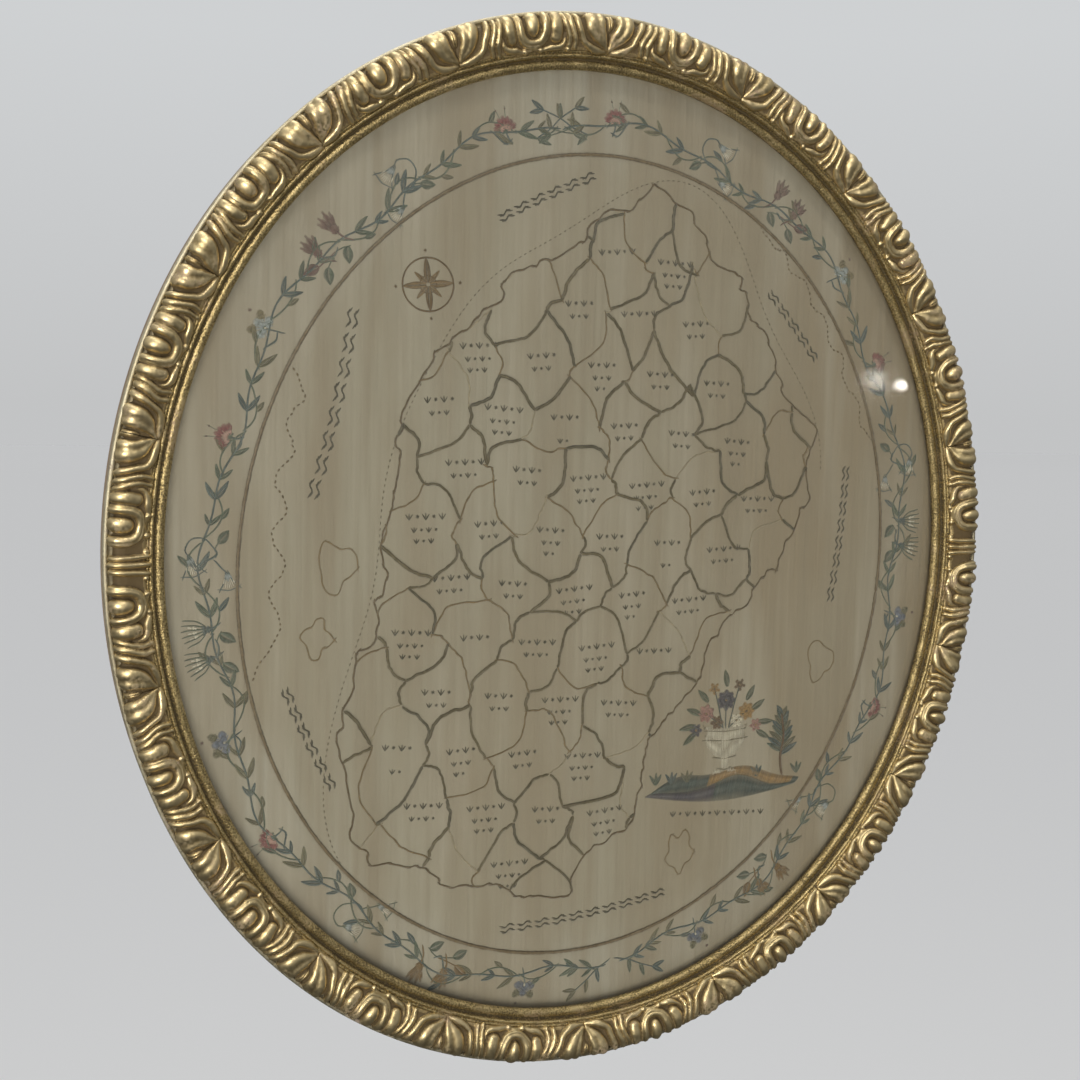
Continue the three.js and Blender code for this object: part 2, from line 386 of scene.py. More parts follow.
def glass_look():
    """Thin clear glass: seen straight through, with a gloss that grows toward a low angle."""
    material, tree, shader = new_look("old_glass")
    tree.nodes.remove(shader)
    clear = add(tree, "ShaderNodeBsdfTransparent", {"Color": (0.985, 0.99, 0.985)})
    smears = ranged(tree, spots(tree, 26.0, 1.0), 0.35, 0.70, 0.02, 0.10)
    gloss = add(tree, "ShaderNodeBsdfGlossy", {"Roughness": smears})
    # The Fresnel node swaps the two sides on a back face, so the index is turned round there
    behind = add(tree, "ShaderNodeNewGeometry").outputs["Backfacing"]
    index = ranged(tree, behind, 0.0, 1.0, 1.45, 1 / 1.45)
    fresnel = add(tree, "ShaderNodeFresnel", {"IOR": index})
    mixed = add(tree, "ShaderNodeMixShader", {
        0: fresnel.outputs[0], 1: clear.outputs[0], 2: gloss.outputs[0],
    })
    connect(tree, tree.nodes["Material Output"].inputs["Surface"], mixed.outputs[0])
    return material


def thread_weave(tree, place):
    """Rows of warp and weft threads, as 0 in the gaps and 1 on the threads."""
    split = add(tree, "ShaderNodeSeparateXYZ", {0: place})
    waves = []
    for axis, threads in (("X", WARP_PER_METRE), ("Z", WEFT_PER_METRE)):
        turns = figure(tree, "MULTIPLY", split.outputs[axis], 2 * math.pi * threads)
        waves.append(figure(tree, "SINE", turns, 0.0))
    return ranged(tree, figure(tree, "MULTIPLY", *waves), -1.0, 1.0)


def silk_look():
    """Old plain-woven silk: putty ground, soft upright bands that paint the shade and light of folds, brown
    stains, fine streaks and a fine weave.
    """
    material, tree, shader = new_look("old_silk")
    place = add(tree, "ShaderNodeTexCoord").outputs["Object"]
    bands = spots(tree, 58.0, 2.0, (1.0, 1.0, 0.10))
    streaks = spots(tree, 330.0, 1.0, (1.0, 1.0, 0.04))
    stain = spots(tree, 13.0, 3.0, (1.0, 1.0, 0.45))
    rightward = add(tree, "ShaderNodeSeparateXYZ", {0: place}).outputs["X"]
    weave = thread_weave(tree, place)
    inner_ground, border_ground = (0.305, 0.276, 0.202, 1), (0.335, 0.310, 0.242, 1)
    ground = tinted(tree, stored(tree, "border"), inner_ground, border_ground)
    stained = ranged(tree, stain, 0.42, 0.66, 0.0, 0.70)
    # Besides the stains, the silk turns browner and darker toward the right: partly a browner tone there,
    # partly painted shade where the light falls off.
    stain_and_right_shade = figure(tree, "ADD", stained, ranged(tree, rightward, 0.0, 0.20, 0.0, 0.65))
    colour = tinted(tree, stain_and_right_shade, ground, (0.262, 0.213, 0.138, 1))
    # Mask, where it starts and ends, the tint's share there, and the tint
    for layer in (
        # Painted shade and light of soft upright folds: the bands darken the silk in some stripes and lighten
        # it in others
        (bands, 0.30, 0.50, 0.75, 0.0, (0.255, 0.212, 0.142)),
        (bands, 0.50, 0.70, 0.0, 0.70, (0.345, 0.310, 0.235)),
        (streaks, 0.30, 0.75, 0.0, 0.42, (0.235, 0.198, 0.137)),
        (weave, 0.0, 1.0, 0.10, 0.0, (0.15, 0.125, 0.085)),
    ):
        colour = glazed(tree, colour, *layer)
    shader.inputs["Sheen Weight"].default_value = 0.20
    shader.inputs["Sheen Roughness"].default_value = 0.35
    relief = figure(tree, "ADD", streaks, figure(tree, "MULTIPLY", weave, 0.12))
    surfaced(tree, shader, colour, ranged(tree, bands, 0.2, 0.8, 0.58, 0.72), relief, 0.0004)
    return material


def floss_look():
    """Silk floss in the colour stored with each stitch, faded unevenly."""
    material, tree, shader = new_look("silk_floss")
    dye = stored(tree, "dye", "Color")
    faded = spots(tree, 150.0, 1.0)
    hairs = spots(tree, 2500.0, 1.0)
    colour = glazed(tree, dye, faded, 0.35, 0.75, 0.0, 0.25, (0.28, 0.25, 0.19))
    colour = glazed(tree, colour, hairs, 0.3, 0.7, 0.25, 0.0, (0.05, 0.045, 0.035))
    shader.inputs["Sheen Weight"].default_value = 0.15
    surfaced(tree, shader, colour, ranged(tree, hairs, 0.2, 0.8, 0.42, 0.6), hairs, 0.0001)
    return material


# Relief ornament of the frame

ARCH = catmull([
    (8.3, 5.2), (8.5, 6.1), (9.6, 6.8), (12.0, 7.4), (15.0, 8.2),
    (18.0, 8.9), (20.2, 8.9), (21.6, 8.1), (22.4, 6.8), (22.6, 5.0),
], 8)
ARCH_START = 8.0
ARCH_SPAN = 18.8


def arch_point(share):
    """A point on the ornament's curved ground and its outward normal, for a share of the way across."""
    steps = np.hypot(*np.diff(ARCH, axis=0).T)
    reached = np.concatenate([[0], np.cumsum(steps)]) / steps.sum()
    nudge = 0.02

    def at(value):
        return np.interp(value, reached, ARCH[:, 0]), np.interp(value, reached, ARCH[:, 1])

    outward, forward = at(share)
    ahead, behind = at(share + nudge), at(share - nudge)
    run, rise = ahead[0] - behind[0], ahead[1] - behind[1]
    size = np.hypot(run, rise)
    return outward, forward, -rise / size, run / size


def near_path(path, u, w):
    """Distance to a path, how far along it the nearest point is from 0 to 1, and the side."""
    steps = np.diff(path, axis=0)
    sizes = np.hypot(steps[:, 0], steps[:, 1])
    reached = np.concatenate([[0], np.cumsum(sizes)])
    best = np.full(u.shape, 1e9)
    share = np.zeros(u.shape)
    side = np.zeros(u.shape)
    for start, step, size, before in zip(path, steps, sizes, reached):
        part = np.clip(((u - start[0]) * step[0] + (w - start[1]) * step[1]) / size ** 2, 0, 1)
        off_u = u - start[0] - part * step[0]
        off_w = w - start[1] - part * step[1]
        away = np.hypot(off_u, off_w)
        nearer = away < best
        best = np.where(nearer, away, best)
        share = np.where(nearer, (before + part * size) / reached[-1], share)
        side = np.where(nearer, np.sign(step[0] * off_w - step[1] * off_u), side)
    return best, share, side


def roll(path, widths, heights, u, w, power=2.1):
    """A raised roll along a path. Also gives how far along it a point is, and how far across."""
    away, share, side = near_path(catmull(path), u, w)
    places = np.linspace(0, 1, len(path))
    width = np.interp(share, places, np.broadcast_to(widths, len(path)))
    height = np.interp(share, places, np.broadcast_to(heights, len(path)))
    across = away / width
    return height * np.sqrt(np.clip(1 - across ** power, 0, 1)), share, side * across


def dome(u, w, centre, reach, height):
    off_u, off_w = (u - centre[0]) / reach[0], (w - centre[1]) / reach[1]
    return height * np.sqrt(np.clip(1 - off_u ** 2 - off_w ** 2, 0, 1))


def soft_top(*heights):
    """The highest of several reliefs, with a slight fillet where they meet."""
    blend = 0.55
    total = heights[0]
    for height in heights[1:]:
        overlap = np.clip(blend - np.abs(total - height), 0, None) / blend
        total = np.maximum(total, height) + overlap ** 2 * blend * 0.25
    return total


def scroll_relief(u, w):
    """The egg, the ring round it and what hangs under the ring. u is the distance from the egg."""
    egg = dome(u, w, (0, 21.4), (3.9, 6.5), 4.7)
    ring, _, across = roll(
        [(-0.01, 12.5), (3.9, 13.5), (6.2, 16.9), (6.9, 22.0), (6.7, 27.5)],
        [2.5, 2.7, 2.7, 2.7, 2.5], [3.3, 3.8, 4.3, 4.1, 3.5], u, w, 2.5)
    ring = ring - 0.8 * np.exp(-((across + 0.36) / 0.14) ** 2) * (ring > 0)
    swag = roll([(-0.01, 10.2), (2.2, 9.9), (4.2, 9.1)], 1.0, 1.5, u, w)[0]
    pearl = dome(u, w, (4.2, 9.4), (1.5, 1.4), 2.3)
    return soft_top(egg, ring, swag, pearl)


def half_relief(u, w):
    """Half a repeat, from the middle of the egg out to the joint of two leaves."""
    lobe = roll([(11.5, 27.6), (12.0, 22.8), (12.1, 18.6), (11.6, 15.6)],
                [2.6, 3.2, 3.6, 3.3], [3.0, 3.8, 4.3, 3.8], u, w, 2.5)[0]
    curl = roll([(5.6, 9.3), (9.2, 10.3), (13.0, 10.8), (15.7, 12.8), (16.4, 17.2)],
                [1.0, 1.6, 1.6, 1.3, 0.7], [1.7, 2.6, 2.7, 2.4, 1.7], u, w, 2.3)[0]
    shapes = [scroll_relief(u, w), lobe, curl, dome(u, w, (18.3, 9.4), (1.3, 1.3), 1.9)]
    for lean, width, height in ((0.0, 1.68, 3.3), (3.45, 1.75, 3.5)):
        path = [(18.5, 11.2), (18.9, 14.2), (18.1, 18.4), (16.2, 22.8), (14.4, 27.5)]
        shapes.append(roll([(x + lean, y - 0.3 * lean) for x, y in path],
                           [0.75 * width, width, width, width, 0.9 * width],
                           [0.7 * height, height, height, height, 0.85 * height], u, w, 2.4)[0])
    # The stalk runs in from the joint along the inner edge and turns up beside the ribs
    shapes.append(roll(
        [(39.9, 8.9), (35.0, 9.6), (30.4, 11.0), (27.2, 13.2), (25.6, 17.2), (23.6, 21.8), (21.2, 27.4)],
        [0.7, 1.6, 1.9, 1.9, 1.85, 1.8, 1.5], [1.0, 2.3, 2.9, 3.3, 3.5, 3.4, 2.9], u, w, 2.5)[0])
    leaf, share, across = roll([(39.5, 10.8), (36.0, 15.2), (33.0, 20.4), (31.6, 27.8)],
                               [1.0, 4.1, 5.5, 5.8], [1.5, 3.3, 4.3, 4.1], u, w, 3.2)
    valley = 0.7 * np.exp(-((across + 0.12) / 0.30) ** 2) * np.clip(share * 2, 0, 1)
    shapes.append(leaf - valley * (leaf > 0))
    shapes.append(dome(u, w, (40.15, 24.5), (2.1, 6.5), 3.0))
    return soft_top(*shapes)


def short_middle_relief(x, w):
    """Between the two eggs of a short length: their rings and three ribs."""
    u = SHORT_BALL_PLACE - np.abs(x)
    shapes = [scroll_relief(u, w), dome(u, w, (12.2, 9.4), (1.4, 1.3), 2.0)]
    for middle, width, height in ((-3.4, 1.5, 3.1), (0.0, 1.6, 3.3), (3.4, 1.5, 3.0)):
        path = [(middle * 1.1, 9.2), (middle, 14.0), (middle * 0.95, 20.0), (middle * 0.8, 27.2)]
        shapes.append(roll(path, [0.8 * width, width, width, width], height, x, w)[0])
    return soft_top(*shapes)


def ornament_relief(x, w, short, seed):
    """Height of the relief over its ground, a little different in every length and on both sides."""
    side = np.where(x < 0, 1, 0)
    warp_u = np.where(side, soft_noise(x, w, 9.0, seed), soft_noise(x, w, 9.0, seed + 1))
    warp_w = soft_noise(x, w, 8.0, seed + 2)
    swell = 1 + 0.06 * soft_noise(x, w, 9.0, seed + 3)
    bent_w = w + 0.35 * warp_w
    if short:
        bent_x = x + 0.4 * warp_u
        outer = half_relief(np.abs(bent_x) - SHORT_BALL_PLACE, bent_w)
        height = np.where(np.abs(bent_x) < SHORT_BALL_PLACE, short_middle_relief(bent_x, bent_w), outer)
    else:
        height = half_relief(np.abs(x + 0.4 * warp_u), bent_w)
    ground = 0.25 + 0.12 * soft_noise(x, w, 3.0, seed + 6)
    gesso = 0.05 * soft_noise(x, w, 2.4, seed + 4)
    return soft_top(height * swell, ground) + gesso


def blurred(values, reach):
    """A soft average over a few grid steps each way."""
    for axis in (0, 1):
        for _ in range(3):
            pad = [(reach, reach) if a == axis else (0, 0) for a in (0, 1)]
            wide = np.cumsum(np.pad(values, pad, mode="edge"), axis=axis)
            wide = np.insert(wide, 0, 0, axis=axis)
            count = 2 * reach + 1
            end = wide.shape[axis]
            ahead = np.take(wide, np.arange(count, end), axis=axis)
            behind = np.take(wide, np.arange(0, end - count), axis=axis)
            values = (ahead - behind) / count
    return values


def make_ornament(name, arc_centre, length, short, seed, path, gilt):
    """One pressed length: the relief on its curved ground, closed down to the bed behind."""
    columns = 50
    row_step = 0.51
    rows = round(length / row_step)
    x, share = np.meshgrid(
        np.linspace(END_CLEARANCE - length / 2, length / 2 - END_CLEARANCE, rows),
        np.linspace(0, 1, columns), indexing="ij")
    relief = ornament_relief(x, ARCH_START + ARCH_SPAN * share, short, seed)
    outward, forward, lean_out, lean_forward = arch_point(share)
    kept = smoothstep(share, 0.0, 0.05) * (1 - 0.6 * smoothstep(share, 0.88, 1.0))
    raised = relief * kept
    angle = path.angle(arc_centre + x)
    top_out = outward + lean_out * raised
    top_x, top_y = oval_point(angle, top_out)
    top = np.stack([top_x, top_y, SIGHT_BACK + forward + lean_forward * raised], -1).reshape(-1, 3)

    base_out = np.array([ARCH[0, 0] + 0.1, 15.5, ARCH[-1, 0] - 0.1])
    base_x, base_y = oval_point(angle[:, :1], base_out[None, :])
    base = np.stack([base_x, base_y, np.full(base_x.shape, ORNAMENT_BACK)], -1).reshape(-1, 3)
    first = len(top)
    row = np.arange(rows - 1)
    edge = columns - 1
    inner, outer = row * columns, row * columns + edge
    low_inner, low_outer = first + row * 3, first + row * 3 + 2
    quads = [
        grid_faces(rows, columns)[:, ::-1],
        grid_faces(rows, 3, first),
        np.stack([inner, inner + columns, low_inner + 3, low_inner], -1),
        np.stack([outer + columns, outer, low_outer, low_outer + 3], -1),
    ]
    fans = []
    for last, start in ((False, 0), (True, (rows - 1) * columns)):
        foot = first + (3 * (rows - 1) if last else 0)
        rim = np.concatenate([[foot], start + np.arange(columns), [foot + 2]])
        fan = np.stack([np.full(len(rim) - 1, foot + 1), rim[:-1], rim[1:]], -1)
        fans.append(fan if last else fan[:, ::-1])
    # The stored tone is painted shade and highlight: it falls in recesses below the blurred relief around
    # them and on the low ground, and rises on the crests. The darker hollows also stand for the toning there.
    near_reach, wide_reach = 4, 11
    around = blurred(relief, near_reach)
    wide = blurred(relief, wide_reach)
    height = 0.50 + 0.42 * (relief - around) + 0.17 * (relief - wide) - 0.16 * np.exp(-relief / 0.7)
    # The ground along the inner edge keeps its leaf
    height = height + 0.03 * (relief - 2.0) + 0.34 * (1 - smoothstep(share, 0.10, 0.20))
    values = np.concatenate([np.clip(height, 0, 1).ravel(), np.full(len(base), 0.1)])
    piece = make_piece(name + "_relief", np.vstack([top, base]), [*quads, *fans], [gilt],
                       values={"height": values})
    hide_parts(name)


def make_ornaments(gilt):
    path = ArcTable(SIGHT_HALF_WIDTH, SIGHT_HALF_HEIGHT, ORNAMENT_PATH)
    short_length = path.perimeter / 2 - 2 * REPEATS_PER_QUARTER * REPEAT_LENGTH
    quarter = [(REPEAT_LENGTH, False)] * REPEATS_PER_QUARTER
    side = [*quarter, (short_length, True), *quarter]
    reached = 0.0
    first_seed, seed_step = 40, 10
    for index, (length, short) in enumerate(side * 2):
        name, seed = f"ornament_{index + 1:02d}", first_seed + seed_step * index
        make_ornament(name, reached + length / 2, length, short, seed, path, gilt)
        reached += length


# Plain rings of the frame

def outline_points(corners, spacing):
    """Points at even steps along a closed outline of (outward, forward, height) rows."""
    corners = np.asarray(corners, float)
    points = []
    for start, end in zip(corners, np.roll(corners, -1, axis=0)):
        steps = max(1, round(math.hypot(*(end - start)[:2]) / spacing))
        points.append(start + (end - start) * np.linspace(0, 1, steps, endpoint=False)[:, None])
    return np.vstack(points)


def make_ring(name, outline, materials, steps, seed, lumps, bare_behind):
    """A ring of one outline round the oval. Lumps is how uneven its front is, and what lies behind
    bare_behind takes the second material."""
    count = len(outline)
    angle = math.pi / 2 - 2 * math.pi * np.arange(steps)[:, None] / steps
    outward, forward = outline[None, :, 0], outline[None, :, 1]
    way_round = 1400.0
    around = np.arange(steps)[:, None] * (way_round / steps)
    along = np.concatenate([[0.0], np.cumsum(np.hypot(*np.diff(outline[:, :2], axis=0).T))])[None, :]
    front = outline[None, :, 3]
    coarse = soft_noise(around, along, 4.0, seed)
    fine = soft_noise(around, along, 1.3, seed + 1, 12)
    uneven = lumps * front * (coarse + 0.6 * fine)
    x, y = oval_point(angle, outward + 0 * angle)
    points = np.stack([x, y, forward + uneven], -1).reshape(-1, 3)
    loop = np.concatenate([np.arange(count), [0]])
    row = np.arange(steps)[:, None]
    here, there = row * count, (row + 1) % steps * count
    faces = np.stack([here + loop[:-1], here + loop[1:], there + loop[1:], there + loop[:-1]], -1)
    faces = faces.reshape(-1, 4)
    behind = (outline[:, 1] < bare_behind) & (np.roll(outline[:, 1], -1) < bare_behind)
    face_material = np.tile(behind.astype(int), steps)
    # The stored tone comes from the outline's painted shade and highlight, made a little uneven.
    height = np.clip(outline[None, :, 2] + 0.10 * soft_noise(around, along, 6.0, seed + 2), 0, 1)
    return make_piece(name, points, [faces], materials,
                      values={"height": height.ravel()}, face_material=face_material)


def arc_points(centre, radius, start, end, steps, height):
    """Points on part of a circle, as (outward, forward, height, front) rows."""
    angles = np.radians(np.linspace(start, end, steps))
    return [(centre[0] + radius * math.cos(a), centre[1] + radius * math.sin(a), height, 1.0) for a in angles]


def make_moulding(gilt, bare):
    """The ring that carries everything: plain side, small rounded rim, bed and rebate."""
    # Rows are outward, forward, tone and share of the uneven front. The tone is painted light: raised on the
    # rounded rim and the bed strip beside it to paint them lit pale, and falling to dark shade on the bed
    # under the ornament.
    rim = arc_points((25.85, BED_TOP), 1.15, 0, 160, 8, 0.72)
    corners = [
        (FACE_WIDTH, 0.0, 0.45, 0.0), (FACE_WIDTH, 5.0, 0.50, 0.0), (FACE_WIDTH, 11.0, 0.55, 0.0), *rim,
        (24.6, BED_TOP, 0.50, 0.0), (23.4, BED_TOP, 0.40, 0.0), (8.3, BED_TOP, 0.12, 0.0),
        (8.3, 8.1, 0.3, 0.0), (5.6, 8.1, 0.3, 0.0), (5.6, 0.0, 0.3, 0.0),
    ]
    point_step = 3.0
    outline = outline_points(corners, point_step)
    piece = make_ring("moulding_ring", outline, [gilt, bare], steps=640, seed=11, lumps=0.05,
                      bare_behind=8.2)
    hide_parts("frame_moulding")


def make_slip(sanded, bare):
    """The inner ring: sanded roll at the sight edge, groove, thin bead and sloping frieze."""
    # Rows are outward, forward, tone and share of the uneven front. The tone paints light and shade: high on
    # the crests of the bead and the roll, near black in the groove and dark at the lip of the sight edge.
    corners = [
        (8.0, 8.4, 0.3, 0.0), (8.0, 14.6, 0.50, 0.0), (7.85, 14.9, 0.66, 0.3), (7.4, 14.75, 0.60, 0.6),
        (6.95, 14.4, 0.44, 0.6), (6.75, 14.1, 0.26, 0.3),
        *arc_points((5.95, 13.75), 0.86, 25, 170, 7, 0.76),
        (5.0, 13.0, 0.34, 0.6), (4.8, 12.0, 0.14, 0.3), (4.6, 11.3, 0.02, 0.0), (4.2, 11.25, 0.04, 0.3),
        (3.75, 11.85, 0.36, 1.0),
        *arc_points((2.05, 10.2), 2.3, 62, 178, 11, 0.64),
        (-0.1, 9.2, 0.30, 0.3), (0.05, 8.4, 0.10, 0.0),
    ]
    point_step = 0.62
    outline = outline_points(corners, point_step)
    piece = make_ring("slip_ring", outline, [sanded, bare], steps=760, seed=23, lumps=0.09,
                      bare_behind=8.5)
    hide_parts("sight_slip")


# Silk

def crease(x, y, start, end, width):
    """A soft ridge that fades out toward both ends of a straight line."""
    run, rise = end[0] - start[0], end[1] - start[1]
    size = math.hypot(run, rise)
    along = ((x - start[0]) * run + (y - start[1]) * rise) / size ** 2
    aside = ((x - start[0]) * rise - (y - start[1]) * run) / size
    return np.exp(-(aside / width) ** 2) * smoothstep(along, 0.0, 0.35) * (1 - smoothstep(along, 0.55, 1.0))


def silk_ripple(x, y):
    """Broad unevenness, soft upright folds, puckers under the top edge and creases at the lower right."""
    sway = x + 0.06 * y + 5 * np.sin(y / 95)
    folds = soft_noise(sway, y * 0.10, 11.0, 5) * (0.5 + 0.5 * smoothstep(-x, -40, 160))
    puckers = soft_noise(x, y * 0.12, 5.0, 6) * smoothstep(y, 165, 240)
    # Creases: first end, second end, width and height
    creases = (
        ((60, -110), (170, -70), 4.0, 0.9), ((40, -150), (150, -128), 3.5, -0.8),
        ((20, -128), (96, -122), 4.5, 0.7), ((110, -60), (196, -92), 3.2, 0.8),
        ((-60, -190), (-10, -160), 4.5, 0.6), ((120, -150), (182, -112), 2.6, -0.7),
        ((-190, 40), (-176, -120), 5.0, 0.5), ((-120, 150), (-128, 10), 6.0, 0.5),
    )
    ridges = sum(height * crease(x, y, start, end, width) for start, end, width, height in creases)
    return np.clip(0.10 * folds + 0.10 * puckers + 0.22 * ridges, -0.30, 0.34)


def silk_height(x, y):
    return SILK_FACE + silk_ripple(x, y)


def make_silk(look):
    """A thin closed sheet: the face in fine rings, the back in a few."""
    sectors = 440
    angle = 2 * math.pi * np.arange(sectors) / sectors

    def lid(rings, back):
        reach = np.linspace(0, 1, rings + 1)[1:, None]
        x = reach * (SIGHT_HALF_WIDTH + SILK_LAP) * np.cos(angle)
        y = reach * (SIGHT_HALF_HEIGHT + SILK_LAP) * np.sin(angle)
        ring = np.stack([x, y, np.full(x.shape, SILK_BACK) if back else silk_height(x, y)], -1)
        middle = [[0.0, 0.0, SILK_BACK if back else float(silk_height(np.zeros(1), np.zeros(1))[0])]]
        return np.vstack([middle, ring.reshape(-1, 3)])

    def lid_faces(rings, first):
        turn = np.arange(sectors)
        ahead = (turn + 1) % sectors
        fan = np.stack([np.full(sectors, first), first + 1 + turn, first + 1 + ahead], -1)
        row = np.arange(rings - 1)[:, None] * sectors + first + 1
        quads = np.stack([row + turn, row + sectors + turn, row + sectors + ahead, row + ahead], -1)
        return fan, quads.reshape(-1, 4)

    face_rings, back_rings = 88, 6
    face, back = lid(face_rings, False), lid(back_rings, True)
    face_fan, face_quads = lid_faces(face_rings, 0)
    back_fan, back_quads = lid_faces(back_rings, len(face))
    turn = np.arange(sectors)
    ahead = (turn + 1) % sectors
    edge = 1 + (face_rings - 1) * sectors
    low = len(face) + 1 + (back_rings - 1) * sectors
    wall = np.stack([edge + turn, low + turn, low + ahead, edge + ahead], -1)
    points = np.vstack([face, back])
    inset = border_share(points[:, 0], points[:, 1])
    faces = [face_fan, face_quads, back_fan[:, ::-1], back_quads[:, ::-1], wall]
    piece = make_piece("silk_cloth", points, faces, [look], values={"border": inset})
    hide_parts("silk_sheet")
    return piece


# Embroidery

LINE_CENTRE = (0.9, -5.5)
LINE_HALF_WIDTH = 181.1
LINE_HALF_HEIGHT = 208.9
LINE_TILT = math.radians(-6.5)
BORDER_MIDDLE = 16.0
BORDER_TOP = -46.0
GLASS_BACK = 6.0
GLASS_CLEARANCE = 0.05
DYE_UNEVENNESS = 0.10
THREAD_FLATNESS = 0.62
CORD_STEP = 0.9
STEM_PITCH = 1.4
SATIN_PITCH = 0.60
FEWEST_STEM_POINTS = 3


def turned(x, y):
    """From the stitched oval's own axes to picture coordinates."""
    cos, sin = math.cos(LINE_TILT), math.sin(LINE_TILT)
    return LINE_CENTRE[0] + x * cos - y * sin, LINE_CENTRE[1] + x * sin + y * cos


def border_share(x, y):
    """1 in the border outside the stitched oval, 0 inside it."""
    cos, sin = math.cos(LINE_TILT), math.sin(LINE_TILT)
    off_x, off_y = x - LINE_CENTRE[0], y - LINE_CENTRE[1]
    own_x, own_y = off_x * cos + off_y * sin, -off_x * sin + off_y * cos
    return smoothstep(np.hypot(own_x / LINE_HALF_WIDTH, own_y / LINE_HALF_HEIGHT), 0.93, 1.03)


def dyed(red, green, blue):
    """A thread's own colour, from how bright it looks as 8-bit screen values in even light."""
    seen = np.array([red, green, blue]) / 255
    return np.where(seen > 0.04045, ((seen + 0.055) / 1.055) ** 2.4, seen / 12.92)


class Stitches:
    """Straight stitches, collected and then made into one mesh of small closed strands."""

    def __init__(self, seed):
        self.starts, self.ends, self.widths, self.lifts, self.dyes = [], [], [], [], []
        self.draw = np.random.default_rng(seed)

    def add(self, starts, ends, width, dye, lift=0.12):
        starts, ends = np.atleast_2d(starts), np.atleast_2d(ends)
        count = len(starts)
        tone = 1 + DYE_UNEVENNESS * self.draw.standard_normal((count, 1))
        self.starts.append(starts)
        self.ends.append(ends)
        self.widths.append(np.broadcast_to(width, (count,)) * self.draw.uniform(0.88, 1.12, count))
        self.lifts.append(np.full(count, lift))
        self.dyes.append(np.clip(np.broadcast_to(dye, (count, 3)) * tone, 0.01, 1))

    def make(self, name, look):
        start, end = np.vstack(self.starts), np.vstack(self.ends)
        width, lift = np.concatenate(self.widths), np.concatenate(self.lifts)
        dye = np.vstack(self.dyes)
        step = end - start
        size = np.maximum(np.hypot(step[:, 0], step[:, 1]), 0.05)
        along = step / size[:, None]
        across = np.stack([-along[:, 1], along[:, 0]], -1)
        shares = np.array([0.0, 0.5, 1.0])
        fullness = np.array([0.45, 1.0, 0.45])
        arch = np.array([0.0, 1.0, 0.0])
        spine = start[:, None, :] + step[:, None, :] * shares[None, :, None]
        radius = width[:, None] / 2 * fullness[None, :]
        ground = silk_height(spine[..., 0], spine[..., 1]) - 0.06
        middle = ground + radius * THREAD_FLATNESS * 0.8 + lift[:, None] * arch[None, :]
        rings = []
        for side, up in ((1, 0), (0, 1), (-1, 0), (0, -1)):
            xy = spine + across[:, None, :] * (radius * side)[..., None]
            rings.append(np.concatenate([xy, (middle + radius * THREAD_FLATNESS * up)[..., None]], -1))
        points = np.stack(rings, 2).reshape(-1, 3)
        points[:, 2] = np.minimum(points[:, 2], GLASS_BACK - GLASS_CLEARANCE)
        first = np.arange(len(start))[:, None] * 12
        sides = []
        for ring in range(2):
            for corner in range(4):
                here, ahead = ring * 4 + corner, ring * 4 + (corner + 1) % 4
                sides.append(first + np.array([here, ahead, ahead + 4, here + 4]))
        ends = [first + np.array([3, 2, 1, 0]), first + np.array([8, 9, 10, 11])]
        faces = np.vstack(sides + ends)[:, ::-1]
        return make_piece(name, points, [faces], [look], colours={"dye": np.repeat(dye, 12, 0)})


class Cords:
    """Laid cords and twisted lines, collected and then made into one mesh."""

    def __init__(self, seed):
        self.points, self.faces, self.dyes = [], [], []
        self.count = 0
        self.draw = np.random.default_rng(seed)

    def add(self, path, width, dye, fuzz=0.18):
        path = even_path(path, CORD_STEP)
        rows, sides = len(path), 5
        if rows < FEWEST_STEM_POINTS:
            return
        across = path_axes(path)[1]
        radius = width / 2 * self.draw.uniform(1 - fuzz, 1 + fuzz, (rows, sides))
        radius[0] *= 0.3
        radius[-1] *= 0.3
        angle = 2 * math.pi * np.arange(sides) / sides
        middle = silk_height(path[:, 0], path[:, 1]) - 0.05 + width / 2 * THREAD_FLATNESS * 0.8
        xy = path[:, None, :] + across[:, None, :] * (radius * np.cos(angle))[..., None]
        up = middle[:, None] + radius * np.sin(angle) * THREAD_FLATNESS
        up = np.minimum(up, GLASS_BACK - GLASS_CLEARANCE)
        points = np.concatenate([xy, up[..., None]], -1).reshape(-1, 3)
        loop = np.arange(sides)
        ahead = (loop + 1) % sides
        row = np.arange(rows - 1)[:, None] * sides + self.count
        quads = np.stack([row + loop, row + sides + loop, row + sides + ahead, row + ahead], -1)
        self.faces.append(quads.reshape(-1, 4))
        self.points.append(points)
        tone = 1 + DYE_UNEVENNESS * self.draw.standard_normal((rows, 1))
        self.dyes.append(np.repeat(np.clip(dye * tone, 0.01, 1), sides, 0))
        self.count += len(points)

    def make(self, name, look):
        return make_piece(name, np.vstack(self.points), [np.vstack(self.faces)], [look],
                          colours={"dye": np.vstack(self.dyes)})


def even_path(path, spacing):
    """The same path with points at even steps."""
    path = np.asarray(path, float)
    sizes = np.hypot(*np.diff(path, axis=0).T)
    reached = np.concatenate([[0], np.cumsum(sizes)])
    count = max(2, round(reached[-1] / spacing) + 1)
    places = np.linspace(0, reached[-1], count)
    return np.stack([np.interp(places, reached, path[:, 0]), np.interp(places, reached, path[:, 1])], -1)


def path_axes(path):
    """The unit heading at each point of a path, and the unit vector to its left."""
    step = np.gradient(path, axis=0)
    step /= np.maximum(np.hypot(step[:, 0], step[:, 1]), 1e-6)[:, None]
    return step, np.stack([-step[:, 1], step[:, 0]], -1)


def unit_axes(heading):
    """A heading as a unit vector, and the unit vector to its left."""
    heading = np.asarray(heading, float) / np.hypot(*heading)
    return heading, np.array([-heading[1], heading[0]])


